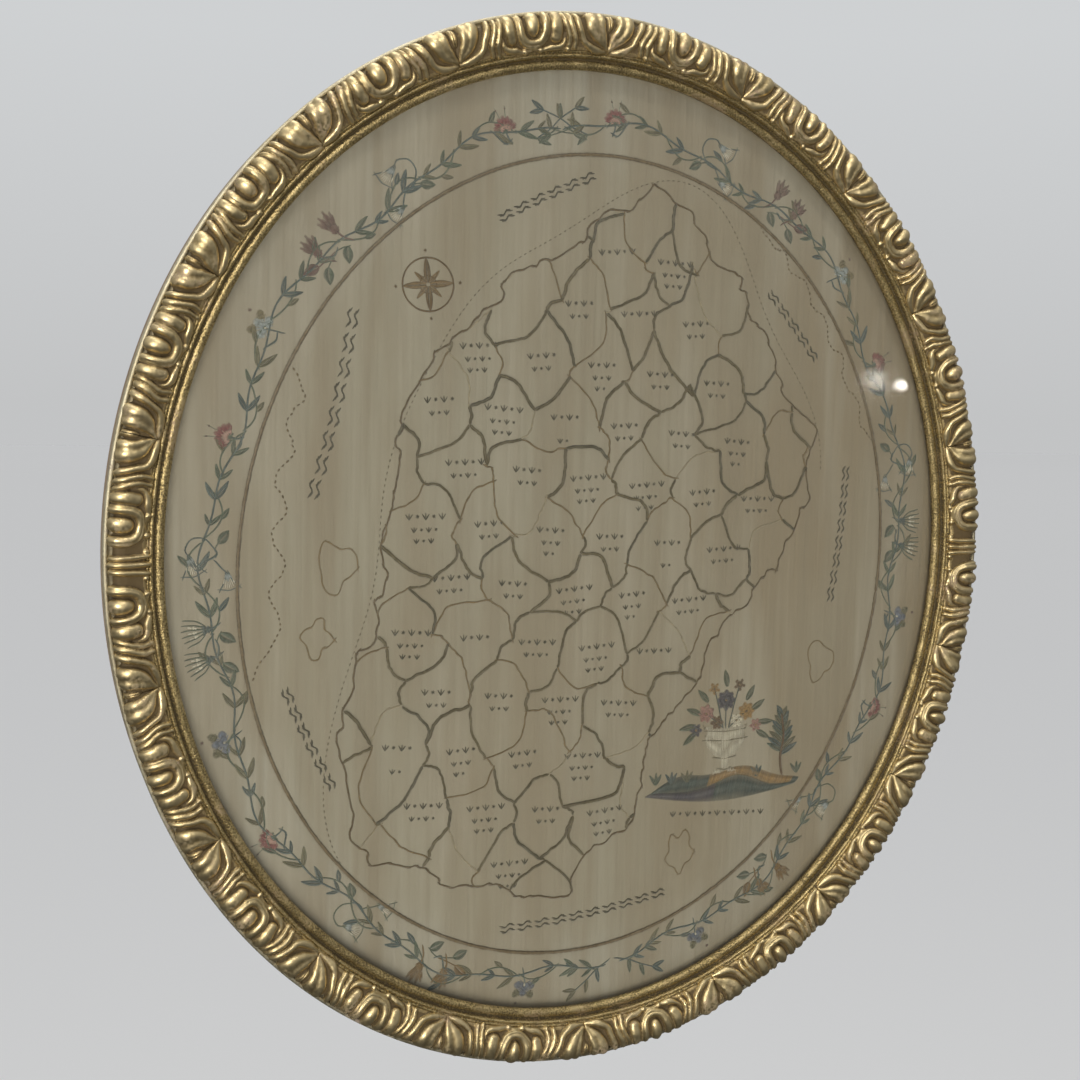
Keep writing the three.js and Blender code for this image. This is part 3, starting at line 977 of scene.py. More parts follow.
def stem_line(stitches, path, width, dye, pitch=1.5):
    """Slanted overlapping stitches along a path, like a fine twisted cord."""
    points = even_path(path, pitch)
    if len(points) < FEWEST_STEM_POINTS:
        return
    step, across = path_axes(points)
    reach = pitch * 1.15
    slant = width * 0.26
    half = step * reach + across * slant
    stitches.add(points - half, points + half, width * 0.74, dye, 0.06)


def satin_leaf(stitches, base, heading, length, width, dye, bend=0.0):
    """Stitches slanting from a curved midrib out to both edges."""
    heading, across = unit_axes(heading)
    count = max(5, round(length / SATIN_PITCH))
    share = np.linspace(0.06, 1.0, count)[:, None]
    rib_share = np.clip(share - 0.16, 0, 1)
    rib = base + heading * length * rib_share + across * bend * rib_share ** 2
    edge_rib = base + heading * length * share + across * bend * share ** 2
    half = width / 2 * np.sin(math.pi * np.clip(share, 0, 0.995) ** 0.85) ** 0.8 + 0.12
    for side, tone in ((1, 1.06), (-1, 0.90)):
        stitches.add(rib + across * side * 0.08, edge_rib + across * side * half, 0.66, dye * tone)


def petal(stitches, base, heading, length, width, dye, tip_dye=None, root=0.25, blunt=0.9, pitch=0.52):
    """Long stitches that fan from a narrow root to a rounded tip, in two shades."""
    heading, across = unit_axes(heading)
    count = max(4, round(width / pitch))
    place = np.linspace(-1, 1, count)[:, None]
    reach = length * np.sqrt(np.clip(1 - (blunt * place) ** 2, 0.05, 1))
    tip = base + heading * reach + across * place * width / 2
    foot = base + across * place * width / 2 * root
    middle = foot + (tip - foot) * stitches.draw.uniform(0.42, 0.62, (count, 1))
    tip_dye = dye if tip_dye is None else tip_dye
    stitches.add(foot, middle, 0.60, dye, 0.16)
    stitches.add(middle - (tip - foot) * 0.08, tip, 0.60, tip_dye, 0.12)


UPWARD = np.array([0.0, 1.0])


def spin(heading, degrees):
    turn = math.radians(degrees)
    return np.array([
        heading[0] * math.cos(turn) - heading[1] * math.sin(turn),
        heading[0] * math.sin(turn) + heading[1] * math.cos(turn),
    ])


def fan(*turns):
    """Headings that lean from straight up by each turn in degrees."""
    return [spin(UPWARD, turn) for turn in turns]


def knot(stitches, place, size, dye, width=0.5):
    """A few crossing stitches that read as one small knot."""
    for degrees in (20, 80, 140):
        arm = spin(np.array([size / 2, 0.0]), degrees)
        stitches.add(place - arm, place + arm, width, dye, 0.2)


BLUE_GREY = dyed(88, 99, 94)
GREY_GREEN = dyed(95, 103, 86)
OLIVE = dyed(110, 106, 82)
PINK = dyed(162, 130, 116)
DEEP_PINK = dyed(136, 84, 80)
MAUVE_BROWN = dyed(112, 90, 80)
OCHRE_BROWN = dyed(120, 97, 62)
LILAC = dyed(108, 113, 121)
PALE_BLUE = dyed(144, 150, 146)
CREAM = dyed(198, 191, 171)
GOLD_GREY = dyed(122, 112, 82)
LEAF_DYES = (BLUE_GREY, GREY_GREEN, OLIVE)


class Border:
    """The garland outside the stitched oval. Places are a distance from the top and an offset outward."""

    def __init__(self):
        self.table = ArcTable(LINE_HALF_WIDTH, LINE_HALF_HEIGHT, BORDER_MIDDLE)
        self.half = self.table.perimeter / 2
        self.stems = Stitches(301)
        self.leaves = Stitches(302)
        self.flowers = Stitches(303)
        self.draw = np.random.default_rng(304)

    def point(self, side, distance, offset):
        angle = self.table.angle(BORDER_TOP + side * np.asarray(distance, float))
        x, y = oval_point(angle, offset, LINE_HALF_WIDTH, LINE_HALF_HEIGHT)
        return np.stack(turned(x, y), -1)

    def axes(self, side, distance):
        """Unit headings: growing, toward the top, and outward."""
        here = self.point(side, distance, BORDER_MIDDLE)
        grow = self.point(side, distance - 0.5, BORDER_MIDDLE) - here
        out = self.point(side, distance, BORDER_MIDDLE + 0.5) - here
        return grow / np.hypot(*grow), out / np.hypot(*out)

    def main_offset(self, distance):
        return (13.0 + 4.2 * np.sin(2 * math.pi * (distance - 8) / 131)
                + 1.4 * np.sin(2 * math.pi * distance / 43 + 1.0))

    def local(self, side, distance, offset):
        """A function from (growing, outward) millimetres at a place to picture coordinates."""
        origin = self.point(side, distance, offset)
        grow, out = self.axes(side, distance)

        def place(points):
            points = np.atleast_2d(points)
            return origin + points[:, :1] * grow + points[:, 1:] * out

        return place

    def curve(self, place, points, width, dye):
        stem_line(self.stems, place(catmull(points)), width, dye, STEM_PITCH)

    def carried(self, place, base, heading):
        """A base and a heading in a flower's own axes, as a picture point and direction."""
        origin = place([base])[0]
        return origin, place([np.add(base, heading)])[0] - origin

    def pair(self, side, distance, offset, slope, size):
        """Two pointed leaves in a V that opens toward the top."""
        grow, out = self.axes(side, distance)
        base = self.point(side, distance, offset)
        ahead = grow - out * slope
        ahead /= np.hypot(*ahead)
        dye = self.leaf_dye() * self.draw.uniform(0.9, 1.15)
        for turn in (-1, 1):
            heading = spin(ahead, turn * self.draw.uniform(34, 50))
            length = size * self.draw.uniform(6.2, 9.8)
            tone = self.draw.uniform(0.90, 1.12)
            satin_leaf(self.leaves, base, heading, length, length * 0.26, dye * tone, -turn * length * 0.16)

    def leaf_dye(self):
        return LEAF_DYES[self.draw.integers(3)]

    def side_leaf(self, side, distance, offset, outward):
        """One leaf that leans forward from the outside of a loop."""
        grow, out = self.axes(side, distance)
        heading = grow + out * outward * self.draw.uniform(0.5, 1.0)
        base, length = self.point(side, distance, offset), self.draw.uniform(5.5, 8.0)
        satin_leaf(self.leaves, base, heading, length, 2.5, self.leaf_dye(), 0.8)

    def side_loop(self, side, start, bulge):
        """A thin stem that leaves the main one and meets it again, with a leaf on its crest."""
        size, crest, points = 21, 11, 14
        loop = start + np.linspace(0, size, points)
        offset = self.main_offset(loop) + bulge * np.sin(np.linspace(0, math.pi, points)) ** 0.8
        stem_line(self.stems, self.point(side, loop, offset), 1.0, GREY_GREEN, STEM_PITCH)
        crest_offset = self.main_offset(start + crest) + bulge
        self.side_leaf(side, start + crest, crest_offset, 1 if bulge > 0 else -1)

    def broad_leaf(self, place, start, heading, size, dye):
        along, out = start
        self.curve(place, [(0.2 * along, 0.2 * out), (0.6 * along, 0.5 * out), start], 0.8, dye)
        base, direction = self.carried(place, start, heading)
        satin_leaf(self.leaves, base, direction, size, size * 0.62, dye, size * 0.1)

    def carnation(self, place, dyes):
        """A round shell of striped petals, pale below and dark along the top, with two short stamens."""
        centre = np.array([-1.0, 5.0])
        self.curve(place, [(0, 0), (-0.8, 2.0), centre], 1.0, BLUE_GREY)
        for turn in np.linspace(-66, 66, 7):
            heading = spin(UPWARD, turn)
            self.petal(place, centre + heading * 0.8, heading, 7.2 - abs(turn) / 60, 2.9, dyes[0], dyes[1],
                       root=0.30, blunt=0.6, pitch=0.6)
        for heading in fan(-110, -62, 62, 110):
            self.petal(place, centre - heading * 0.2, heading, 2.8, 1.3, GREY_GREEN, root=0.6)
        for heading in fan(-12, 14):
            tip = centre + heading * 11.0
            self.curve(place, [centre + heading * 8.4, centre + heading * 9.6, tip], 0.45, GREY_GREEN)
            knot(self.flowers, place([tip])[0], 1.0, MAUVE_BROWN)

    def petal(self, place, base, heading, length, width, dye, tip_dye=None, **shape):
        origin, direction = self.carried(place, base, heading)
        petal(self.flowers, origin, direction, length, width, dye, tip_dye, **shape)

    def bell(self, place, base, heading, size, dye):
        """An open trumpet: pale fill, a darker outline and a curled lip."""
        heading, across = unit_axes(heading)
        shape = {"root": 0.22, "blunt": 0.62, "pitch": 0.8}
        self.petal(place, base, heading, size, size * 0.80, PALE_BLUE, CREAM, **shape)
        for turn in (-1, 1):
            edge = [base + across * turn * 0.8, base + heading * size * 0.5 + across * turn * size * 0.26,
                    base + heading * size * 0.98 + across * turn * size * 0.60]
            self.curve(place, edge, 0.75, dye)
        lip = [base + heading * size * 0.98 - across * size * 0.58, base + heading * size * 1.12,
               base + heading * size * 0.98 + across * size * 0.58]
        self.curve(place, lip, 0.65, dye)

    def bindweed(self, place, dye):
        """Two trumpets on curled stalks, one each side of the stem."""
        self.curve(place, [(0, 0), (4.5, 5), (4.0, 11), (-1.0, 13.5), (-4.5, 11.5)], 0.85, dye)
        self.bell(place, np.array([-4.5, 11.5]), np.array([-1.0, -0.35]), 8.4, dye)
        self.curve(place, [(-6, -1), (-9, -4), (-11, -6.5)], 0.85, dye)
        self.bell(place, np.array([-11.0, -6.5]), np.array([-1.0, -0.25]), 7.4, dye)
        self.broad_leaf(place, (3.0, -1.5), (0.8, -0.7), 7.5, GREY_GREEN)

    def tulips(self, place, dye):
        """Two upright cups of pointed petals on short stalks, with broad leaves below."""
        for along, height in ((-7.5, 4.0), (6.5, 5.5)):
            self.curve(place, [(along + 2.5, -2), (along + 0.6, 1.5), (along, height)], 1.1, dye)
            for heading, size in zip(fan(-24, 24, -9, 10), (10.5, 10.5, 12.0, 11.5)):
                self.petal(place, (along, height), heading, size, 3.2, dye, dye * 1.18, root=0.5, blunt=0.97)
        for along in (-9.0, 5.0):
            self.broad_leaf(place, (along, -2.5), (-0.9, -0.8), 8.0, GREY_GREEN)
        self.broad_leaf(place, (-12.0, 1.0), (-1.0, 0.5), 8.5, dye)

    def pansy(self, place, dyes):
        """Two small upper petals and three wide lower ones."""
        centre = np.array([0.0, 6.5])
        self.curve(place, [(2.0, -1.5), (1.0, 2), (0, 5)], 0.9, BLUE_GREY)
        for heading, shift in zip(fan(-90, -5, 85), (0.4, 0.8, 0.4)):
            self.petal(place, centre + heading * shift, heading, 5.6, 5.4, dyes[0], dyes[0] * 1.2,
                       root=0.3, blunt=0.88)
        for heading in fan(-42, 38):
            self.petal(place, centre + heading * 4.2, heading, 4.6, 4.6, dyes[1], dyes[1] * 1.1,
                       root=0.4, blunt=0.9)
        knot(self.flowers, place([centre])[0], 1.8, CREAM)
        knot(self.flowers, place([centre + np.array([3.6, 10.0])])[0], 2.0, MAUVE_BROWN)

    def thistles(self, place, dye):
        """Two tufts of long feathery strokes with white between, over dark cups."""
        for along, lean in ((-7.5, 14), (6.5, 4)):
            self.curve(place, [(along + 1.5, -1.5), (along + 0.4, 1), (along, 3.0)], 1.1, dye)
            out = spin(UPWARD, lean)
            base = np.array([along, 2.0])
            for turn in (-26, -9, 9, 26):
                self.petal(place, base, spin(out, turn), 5.0, 1.8, dye * 0.85, dye, root=0.6)
            for turn in (-38, -23, -8, 8, 23, 38):
                stroke = spin(out, turn)
                tip = base + spin(out, turn * 0.8) * 12.4
                self.curve(place, [base + stroke * 4.4, base + stroke * 8, tip], 0.85, GREY_GREEN)
            for turn in (-15, 1, 16):
                self.petal(place, base + spin(out, turn) * 6.5, spin(out, turn), 4.6, 1.1, CREAM)
        for along in (-11.0, 3.5):
            self.broad_leaf(place, (along, -2.0), (-0.75, -0.85), 8.5, GREY_GREEN)

    def crossing(self, distance, spread):
        """Two sprays that cross in the middle of the garland's top or bottom."""
        for side in (-1, 1):
            place = self.local(side, distance, 14.5)
            self.curve(place, [(-9, -4.5), (-2, -1), (4, 3.5), (spread, 8)], 0.9, BLUE_GREY)
            self.curve(place, [(-2, -1), (4, -3), (spread * 0.8, -4.5)], 0.8, GREY_GREEN)
            # Leaves: how far along, how far out, and turn
            for along, out, turn in (
                (spread, 8, 20), (spread, 8, -30), (4, 3.5, 60), (spread * 0.8, -4.5, 10),
                (spread * 0.8, -4.5, -50), (-2, -1, 75),
            ):
                start, direction = self.carried(place, (along, out), spin(np.array([1.0, 0.4]), turn))
                satin_leaf(self.leaves, start, direction, 7.5, 2.4, self.leaf_dye())

    def make(self, look):
        shell = (PINK, DEEP_PINK)
        # Flower, distance from the top and its threads
        garland = (
            (self.carnation, 29, shell), (self.bindweed, 86, BLUE_GREY), (self.tulips, 138, MAUVE_BROWN),
            (self.pansy, 189, (PALE_BLUE, GOLD_GREY)), (self.carnation, 242, shell),
            (self.bindweed, 297, BLUE_GREY), (self.thistles, 342, BLUE_GREY),
            (self.pansy, 391, (LILAC, OLIVE)), (self.carnation, 444, shell),
            (self.bindweed, 501, GREY_GREEN), (self.tulips, 558, OCHRE_BROWN),
            (self.pansy, 612, (LILAC * 0.8, OLIVE)),
        )
        for side in (-1, 1):
            distances = np.arange(2.0, self.half - 4, 2.0)
            stem = self.point(side, distances, self.main_offset(distances))
            stem_line(self.stems, stem, 1.15, BLUE_GREY, STEM_PITCH)
            nearest, furthest = 8.0, 11.0
            for stitch_flower, distance, dyes in garland:
                stem_offset = float(self.main_offset(distance))
                place = self.local(side, distance, min(furthest, max(nearest, stem_offset)))
                stitch_flower(place, dyes)
                fork = self.point(side, distance + 8, self.main_offset(distance + 8))
                shoot = [fork, place([(-3.0, -0.6)])[0], place([(0.0, 0.0)])[0]]
                stem_line(self.stems, catmull(shoot), 1.1, BLUE_GREY, STEM_PITCH)
                for start, bulge in ((distance - 26, -4.6), (distance - 3, 5.0)):
                    self.side_loop(side, start, bulge)
            pair_step, pair_shift, flower_room = 11.4, 1.8, 6.5
            for number, distance in enumerate(np.arange(12.0, self.half - 8, pair_step)):
                distance = distance + self.draw.uniform(-pair_shift, pair_shift)
                if min(abs(distance - flower[1]) for flower in garland) < flower_room:
                    continue
                slope = float(self.main_offset(distance + 1) - self.main_offset(distance - 1)) / 2
                size = 1.08 if number % 3 else 0.85
                self.pair(side, distance, float(self.main_offset(distance)), slope, size)
        self.crossing(4.0, 13.0)
        self.crossing(self.half - 12.0, 11.0)
        return [self.stems.make("border_stems", look), self.leaves.make("border_leaves", look),
                self.flowers.make("border_flowers", look)]


def wiggled(start, end, rough, draw):
    """A hand-drawn line between two points, by halving it and moving each middle aside."""
    path = [np.asarray(start, float), np.asarray(end, float)]
    halvings = 4
    for _ in range(halvings):
        finer = [path[0]]
        for a, b in zip(path, path[1:]):
            aside = np.array([a[1] - b[1], b[0] - a[0]])
            finer += [(a + b) / 2 + aside * draw.normal(0, rough), b]
        path = finer
    return np.array(path)


class IslandMap:
    """An invented island with provinces, islets, dotted shoals, and rows of seed stitches and waves."""

    CENTRE = np.array([-6.0, 6.0])
    SIZE = 121.0
    # Lobes round the coast: how many, how deep, and where they turn
    LOBES = ((2, 0.19, 58), (3, 0.06, 10), (5, 0.055, 80), (7, 0.03, 20))
    UPRIGHT = 1.36
    # A province's width, and shares of it: the step between rows, a side's rise and how far corners stray
    PROVINCE = 34.0
    ROW_STEP = 0.86
    SIDE_RISE = 0.29
    STRAY = 0.12

    def __init__(self):
        self.draw = np.random.default_rng(77)
        self.cords = Cords(401)
        self.fine = Stitches(402)
        self.marks = Stitches(403)
        self.shore = self.shore_path()

    def reach(self, angle):
        total = 1.0
        for count, depth, turn in self.LOBES:
            total = total + depth * np.cos(count * (angle - math.radians(turn)))
        return self.SIZE * total

    def coast_point(self, angle, share=1.0):
        reach = self.reach(angle) * share
        return self.CENTRE + np.stack([reach * np.cos(angle), self.UPRIGHT * reach * np.sin(angle)], -1)

    def inside(self, points):
        """Whether each point lies within the coast, by counting the sides of the coast to its right."""
        x, y = points[:, :1], points[:, 1:]
        start, end = self.shore[:-1], self.shore[1:]
        crossed = (start[:, 1] > y) != (end[:, 1] > y)
        rise = np.where(crossed, end[:, 1] - start[:, 1], 1.0)
        meeting = start[:, 0] + (y - start[:, 1]) * (end[:, 0] - start[:, 0]) / rise
        return (crossed & (meeting > x)).sum(1) % 2 == 1

    def shown(self, path):
        return np.stack(turned(*np.asarray(path, float).T), -1)

    def shore_path(self):
        turns = np.linspace(0, 2 * math.pi, 27)
        corners = self.coast_point(turns)
        corners[1:-1] += self.draw.normal(0, 4.5, (len(turns) - 2, 2))
        corners[-1] = corners[0]
        sides = [wiggled(a, b, 0.10, self.draw)[:-1] for a, b in zip(corners, corners[1:])]
        return np.vstack([*sides, corners[:1]])

    def coast(self):
        stem_line(self.fine, self.shown(self.shore), 1.3, dyed(100, 84, 56), 1.5)
        shoal = self.coast_point(np.linspace(0.3, 2 * math.pi, 420), 1.05)
        self.running(self.shown(shoal)[:270], 1.6, 1.5, 0.6, dyed(108, 98, 72))

    def running(self, path, stitch, gap, width, dye):
        """Running stitches with gaps between."""
        points = even_path(path, stitch + gap)
        step = np.diff(points, axis=0)
        self.fine.add(points[:-1], points[:-1] + step * stitch / (stitch + gap), width, dye, 0.1)

    def provinces(self):
        """The sides of a pulled-about honeycomb, drawn as laid cords and cut off at the coast."""
        rows, columns = 8, 6
        corners = {}

        def corner(row, column, kind):
            key = (row, column, kind)
            if key not in corners:
                x = (column + (0.5 if row % 2 else 0.0)) * self.PROVINCE
                rise = self.PROVINCE * self.SIDE_RISE if kind else 0.0
                y = row * self.PROVINCE * self.ROW_STEP + rise
                stray = self.draw.normal(0, self.PROVINCE * self.STRAY, 2)
                corners[key] = self.CENTRE + np.array([x, y]) + stray
            return corners[key]

        for row in range(-rows, rows):
            for column in range(-columns, columns + 1):
                below, above = corner(row, column, 0), corner(row, column, 1)
                shift = 0 if row % 2 else -1
                next_low = corner(row + 1, column + shift, 0)
                next_high = corner(row + 1, column + shift + 1, 0)
                for a, b in ((below, above), (above, next_low), (above, next_high)):
                    self.province_side(a, b)

    def province_side(self, a, b):
        """One bent side: mostly a laid cord in one of three browns, else a fine line in a paler one."""
        cord_dyes = (dyed(88, 79, 54), dyed(98, 88, 62), dyed(84, 78, 58))
        aside = np.array([a[1] - b[1], b[0] - a[0]]) * self.draw.choice((-1, 1))
        aside = aside * self.draw.uniform(0.08, 0.26)
        lean = self.draw.uniform(0.3, 0.7)
        bent = catmull([a, a + (b - a) * lean + aside, b], 6)
        path = even_path(bent + self.draw.normal(0, 0.25, bent.shape), 0.8)
        kept = self.inside(path)
        kind = self.draw.integers(8)
        if kept.sum() < 4:
            return
        path = path[kept]
        if kind < 5:
            self.cords.add(self.shown(path), self.draw.uniform(1.25, 1.8), cord_dyes[kind % 3])
        else:
            width, dye = (1.2, dyed(120, 102, 68)) if kind < 7 else (1.0, dyed(156, 144, 116))
            stem_line(self.fine, self.shown(path), width, dye, STEM_PITCH)

    def islets(self):
        # Centre across and up, size, and how many lobes
        for x, y, size, lobes in ((-133, -14, 9, 3), (-138, -50, 7, 4), (150, -42, 8, 3), (76, -153, 8, 5)):
            turns = np.linspace(0, 2 * math.pi, 15)
            reach = size * (1 + 0.22 * np.cos(lobes * turns + x) + 0.07 * self.draw.standard_normal(15))
            reach[-1] = reach[0]
            path = catmull(np.stack([x + reach * np.cos(turns), y + 1.3 * reach * np.sin(turns)], -1))
            stem_line(self.fine, self.shown(path), 1.0, dyed(128, 110, 76), STEM_PITCH)

    def far_shores(self):
        """Two neighbouring coasts that run off under the stitched oval, dotted."""
        shores = (
            [(-165, 78), (-158, 66), (-166, 52), (-159, 40), (-168, 26), (-160, 12), (-166, -2), (-158, -16),
             (-164, -30), (-156, -44), (-162, -58), (-168, -74)],
            [(74, 191), (84, 180), (92, 178), (98, 168), (108, 164), (114, 152), (124, 146),
             (128, 134), (138, 128), (140, 116), (152, 106), (156, 92), (166, 84)],
        )
        for shore in shores:
            path = catmull(shore)
            path = path + self.draw.normal(0, 0.6, path.shape)
            self.running(self.shown(path), 1.7, 1.3, 1.0, dyed(112, 96, 66))

    def seed_row(self, place, heading, marks, height, pitch, dye):
        """A plain row of small tufts and knots that fills the ground. Height is a tuft's size."""
        heading, up = unit_axes(heading)
        for number in range(marks):
            middle = place + heading * (number - (marks - 1) / 2) * pitch
            if number % 2:
                knot(self.marks, middle, height * 0.62, dye, height * 0.11 + 0.30)
            else:
                foot = middle - up * height * 0.5
                tips = [foot + spin(up, turn) * height for turn in (-32, 0, 32)]
                self.marks.add([foot] * 3, tips, height * 0.08 + 0.42, dye, 0.14)

    def wave_row(self, place, heading, marks, size, pitch, dye, bend):
        """Small double waves, one after another along a bent line, for the sea."""
        heading, up = unit_axes(heading)
        run = np.linspace(-0.5, 0.5, 9)[:, None] * size
        for number in range(marks):
            along = (number - (marks - 1) / 2) * pitch
            middle = place + heading * along + up * bend * along ** 2
            for level in (-0.24, 0.24):
                lift = level + 0.13 * np.sin(2 * math.pi * run / size)
                stem_line(self.marks, middle + heading * run + up * size * lift, 1.2, dye, 1.3)

    def rows(self):
        """Rows of marks in the middle of each province, waves in the sea and one row under the urn."""
        dark = dyed(80, 75, 58)
        cell_middle = 0.17
        footprint = np.array([[-13.0, 4.0], [13.0, 4.0], [0.0, -9.0]])
        for row in range(-6, 7):
            for column in range(-5, 6):
                x = (column + (0.0 if row % 2 else 0.5)) * self.PROVINCE
                y = (row + cell_middle) * self.PROVINCE * self.ROW_STEP
                place = self.CENTRE + np.array([x, y])
                if not self.inside(place + footprint).all():
                    continue
                marks = int(self.draw.integers(4, 6))
                line = np.array([1.0, self.draw.uniform(-0.10, 0.10)])
                self.seed_row(self.shown([place + np.array([0.0, 4.0])])[0], line, marks, 3.4, 4.3, dark)
                for down, share, fewer in ((-2.6, 0.85, 1), (-8.2, 0.45, 2)):
                    if self.draw.random() < share:
                        below = self.shown([place + np.array([0.5, down])])[0]
                        self.seed_row(below, line, marks - fewer, 2.8, 3.8, dark)
        # Middle across and up, heading, marks, size, spacing and bend of the rows in the sea
        for x, y, heading, marks, size, spacing, bend in (
            (-142, 64, (0.22, 1.0), 8, 7.0, 12.0, 0.001), (-137, -100, (0.42, -0.90), 6, 5.6, 9.8, 0.001),
            (104, 140, (0.66, -0.75), 5, 5.6, 9.8, -0.001), (24, -188, (1.0, 0.10), 10, 5.6, 9.8, 0.001),
            (152, 30, (-0.10, -1.0), 8, 5.6, 9.8, -0.001), (-48, 182, (0.90, 0.44), 6, 5.6, 9.8, -0.001),
        ):
            self.wave_row(self.shown([(x, y)])[0], heading, marks, size, spacing, dark, bend)
        self.seed_row(self.shown([(97, -131)])[0], (1.0, -0.06), 13, 3.4, 4.6, dark)

    def compass(self):
        """An eight-pointed star between two fine rings."""
        centre = self.shown([(-104, 128)])[0]
        brown, ochre = dyed(102, 82, 50), dyed(124, 102, 66)
        turns = np.linspace(0, 2 * math.pi, 49)
        for radius, width in ((13.0, 1.1), (4.2, 0.8)):
            ring = centre + radius * np.stack([np.cos(turns), np.sin(turns)], -1)
            stem_line(self.fine, ring, width, brown, STEM_PITCH)
        for index in range(8):
            heading = spin(UPWARD, index * 45 + 6)
            long = index % 2 == 0
            dye = brown if index % 4 == 0 else ochre
            length, width = (12.0, 3.4) if long else (8.0, 2.0)
            satin_leaf(self.fine, centre + heading * 1.0, heading, length, width, dye)
        for index in range(4):
            heading = spin(UPWARD, index * 90 + 6)
            knot(self.fine, centre + heading * 16.5, 2.0, brown)

    def make(self, look):
        turns = np.linspace(0, 2 * math.pi, 900)
        oval = np.stack(oval_point(turns, 0.0, LINE_HALF_WIDTH, LINE_HALF_HEIGHT), -1)
        self.cords.add(self.shown(oval), 1.8, dyed(108, 93, 68), 0.20)
        self.provinces()
        self.coast()
        self.islets()
        self.far_shores()
        self.rows()
        self.compass()
        return [self.cords.make("map_cords", look), self.fine.make("map_lines", look),
                self.marks.make("seed_rows", look)]


URN_SCALE = 1.36
URN_PLACE = (99.0, -118.0)


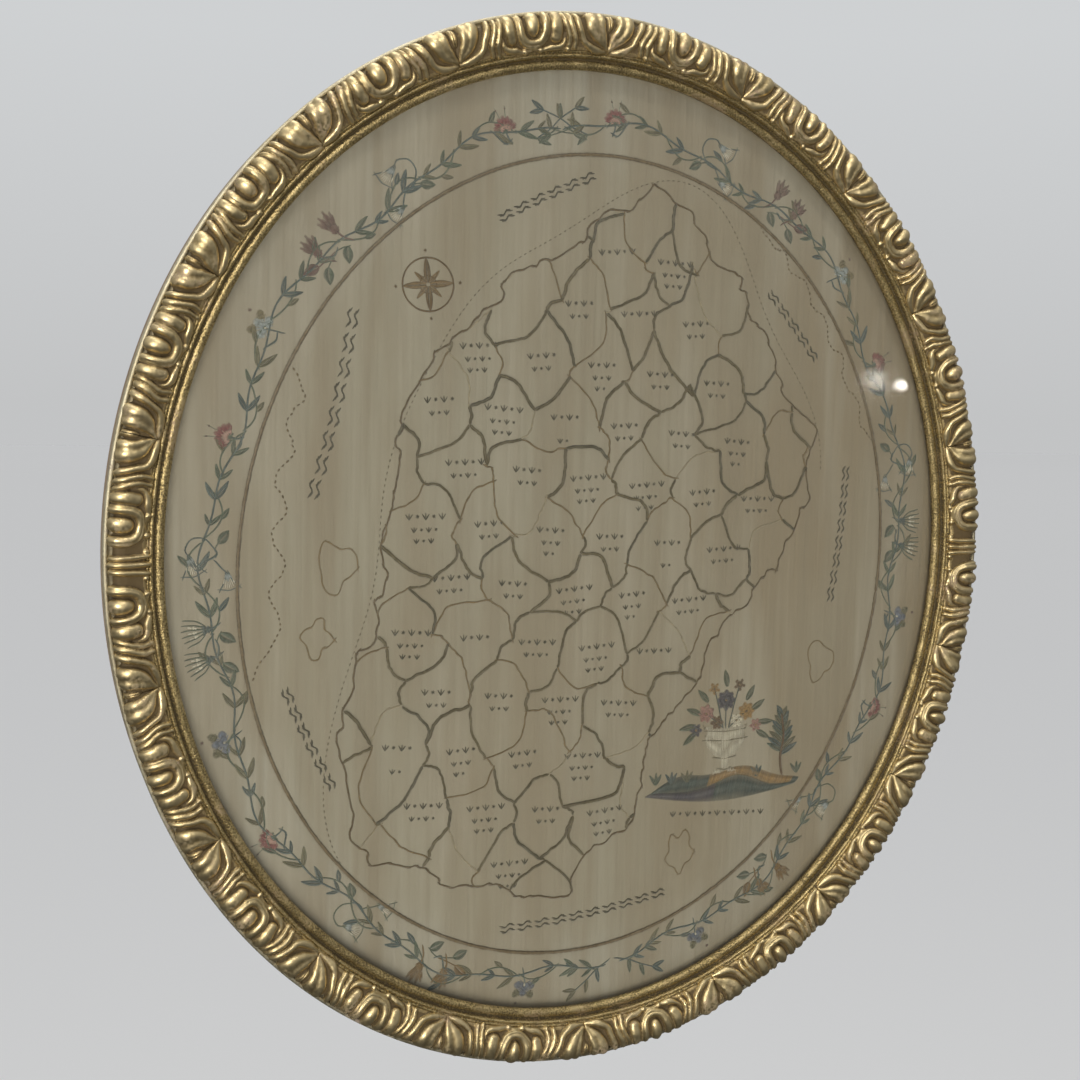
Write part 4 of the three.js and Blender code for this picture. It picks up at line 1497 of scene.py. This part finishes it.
def make_urn(look):
    """A flower urn on a mound, with a small tree beside it, in long satin stitches."""
    stitches = Stitches(501)
    draw = np.random.default_rng(502)
    origin = np.array(turned(*URN_PLACE))
    cream, shade = dyed(192, 184, 162), dyed(140, 130, 104)
    slate, ochre, teal = dyed(82, 78, 80), dyed(142, 114, 70), dyed(76, 84, 76)
    brown, rose = dyed(100, 80, 58), dyed(142, 108, 96)
    spacing = 0.55 / URN_SCALE

    def at(x, y):
        return origin + np.array([x, y]) * URN_SCALE

    # Mound of slanting bands
    half = 35.0
    for x in np.arange(-half + 1, half - 1, spacing):
        top = 7.5 * math.cos(x / half * math.pi / 2) ** 0.7 + 1.2 * math.sin(x / 5) + 1.0
        low = -4.5 * math.cos(x / half * math.pi / 2)
        split = low + (top - low) * (0.5 + 0.22 * math.sin(x / 9 + 1))
        band = ochre if math.sin(x / 11 + 0.5) > -0.2 else teal
        under = teal if math.sin(x / 13) > -0.3 else slate
        stitches.add([at(x, split)], [at(x + 1.6, top)], 0.66, band * draw.uniform(0.85, 1.15))
        stitches.add([at(x - 1.4, low)], [at(x + 0.3, split + 0.4)], 0.66, under * draw.uniform(0.85, 1.15))
    # Urn: height and half width up the foot, stem, bowl and lip
    heights, half_widths = np.transpose([
        (7.0, 5.6), (8.4, 5.0), (9.0, 1.9), (11.5, 1.7), (14.0, 4.6),
        (18.0, 8.2), (22.5, 9.4), (25.0, 8.2), (26.4, 10.4),
    ])
    for x in np.arange(-10.4, 10.5, spacing):
        levels = [h for h in np.arange(7.0, 26.6, 0.35) if np.interp(h, heights, half_widths) >= abs(x)]
        if len(levels) < 2:
            continue
        breaks = np.flatnonzero(np.diff(levels) > 0.5)
        for run in np.split(np.array(levels), breaks + 1):
            if len(run) < 2:
                continue
            dye = cream * (0.72 + 0.28 * math.cos((x + 2.5) / 12 * math.pi / 2)) if abs(x) < 9 else shade
            middle = (run[0] + run[-1]) / 2 + draw.uniform(-1, 1)
            stitches.add([at(x, run[0])], [at(x, middle + 0.5)], 0.62, dye)
            stitches.add([at(x, middle - 0.5)], [at(x, run[-1])], 0.62, dye * 1.04)
    for level, half in ((24.8, 8.4), (21.0, 9.2), (13.6, 4.4), (9.0, 2.4)):
        stem_line(stitches, [at(-half, level), at(0, level - 0.7), at(half, level)], 1.0, shade * 0.75)
    # Flowers over the lip: across, up, size, petals and thread
    blooms = (
        (-9, 32, 7.5, 7, rose), (0, 37, 8.5, 8, slate), (9.5, 32, 7.5, 7, ochre),
        (-4, 28, 6.0, 6, brown), (5, 28.5, 6.0, 6, cream), (-13.5, 25.5, 5.5, 6, slate),
        (14, 26, 5.5, 6, rose), (-5.5, 42, 5, 5, ochre), (6, 43, 5, 5, brown),
    )
    for x, y, size, count, dye in blooms:
        if y > 31:
            stem_line(stitches, [at(x * 0.25, 26.5), at(x * 0.6, (26.5 + y) / 2), at(x, y)], 0.9, teal)
        for index in range(count):
            heading = spin(UPWARD, 360 * index / count + x * 7)
            reach = size * URN_SCALE
            petal(stitches, at(x, y) + heading * 0.5, heading, reach * 0.48, reach * 0.40, dye, dye * 1.2)
        knot(stitches, at(x, y), 2.0, ochre if dye is not ochre else brown)
    # Leaves round them: across, up and turn
    leaf_size, leaf_width, leaf_dye = 7.0 * URN_SCALE, 2.5 * URN_SCALE, dyed(94, 98, 78)
    for x, y, turn in (
        (-14, 33, 62), (-17, 27, 95), (14.5, 34, -62), (18, 27, -95), (-10, 39, 38), (11, 39, -36),
        (0, 45.5, 5), (-16, 22.5, 125), (17, 22.0, -125),
    ):
        heading = spin(UPWARD, turn)
        satin_leaf(stitches, at(x, y) - heading * 4, heading, leaf_size, leaf_width, leaf_dye, 0.8)
    # Small tree
    trunk = [at(27, 5), at(26.2, 12), at(27.4, 20), at(26.4, 29)]
    stem_line(stitches, catmull(trunk), 2.0, brown, 1.3)
    for number in range(16):
        level = 13 + number * 1.1
        turn = (62 if number % 2 else -62) * (1 - number / 26)
        reach = (8.4 - number * 0.25) * URN_SCALE
        satin_leaf(stitches, at(26.6 + 0.4 * math.sin(level), level), spin(UPWARD, turn), reach, 3.0,
                   LEAF_DYES[number % 3] * 0.85, 0.6)
    # Low plants at the foot of the mound
    for x in (-31, -24, -17, 15, 34):
        for heading in fan(-34, -6, 30):
            satin_leaf(stitches, at(x, 4.5), heading, 6.5, 1.6, LEAF_DYES[abs(x) % 3] * 0.9, 0.4)
    return stitches.make("flower_urn", look)


def make_embroidery():
    floss = floss_look()
    return [*Border().make(floss), *IslandMap().make(floss), make_urn(floss)]


# The whole object

make_camera()
make_stage()
GILT = gilt_look("worn_gilt", (0.74, 0.605, 0.340, 1), (0.56, 0.430, 0.215, 1), (0.115, 0.080, 0.035, 1),
                 0.43, 700.0, 0.00004, 0.10)
PALE_GILT = gilt_look("pale_gilt", (0.74, 0.690, 0.520, 1), (0.56, 0.495, 0.340, 1), (0.12, 0.095, 0.060, 1),
                      0.60, 700.0, 0.00004, 0.12)
SANDED = gilt_look("sanded_gilt", (0.66, 0.530, 0.270, 1), (0.38, 0.290, 0.130, 1), (0.085, 0.062, 0.028, 1),
                   0.46, 1050.0, 0.00040, 0.38)
BARE_WOOD = wood_look("bare_wood", (0.42, 0.30, 0.18, 1), (0.26, 0.17, 0.10, 1))
make_moulding(PALE_GILT, BARE_WOOD)
make_slip(SANDED, BARE_WOOD)
make_ornaments(GILT)
SILK = make_silk(silk_look())
THREADS = make_embroidery()
OLD_BOARD = wood_look("old_board", (0.36, 0.255, 0.155, 1), (0.23, 0.15, 0.09, 1), 60.0)
for node, look in (("glass_pane", glass_look()), ("backboard", OLD_BOARD)):
    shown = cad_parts[node]
    shown.data.materials.clear()
    shown.data.materials.append(look)
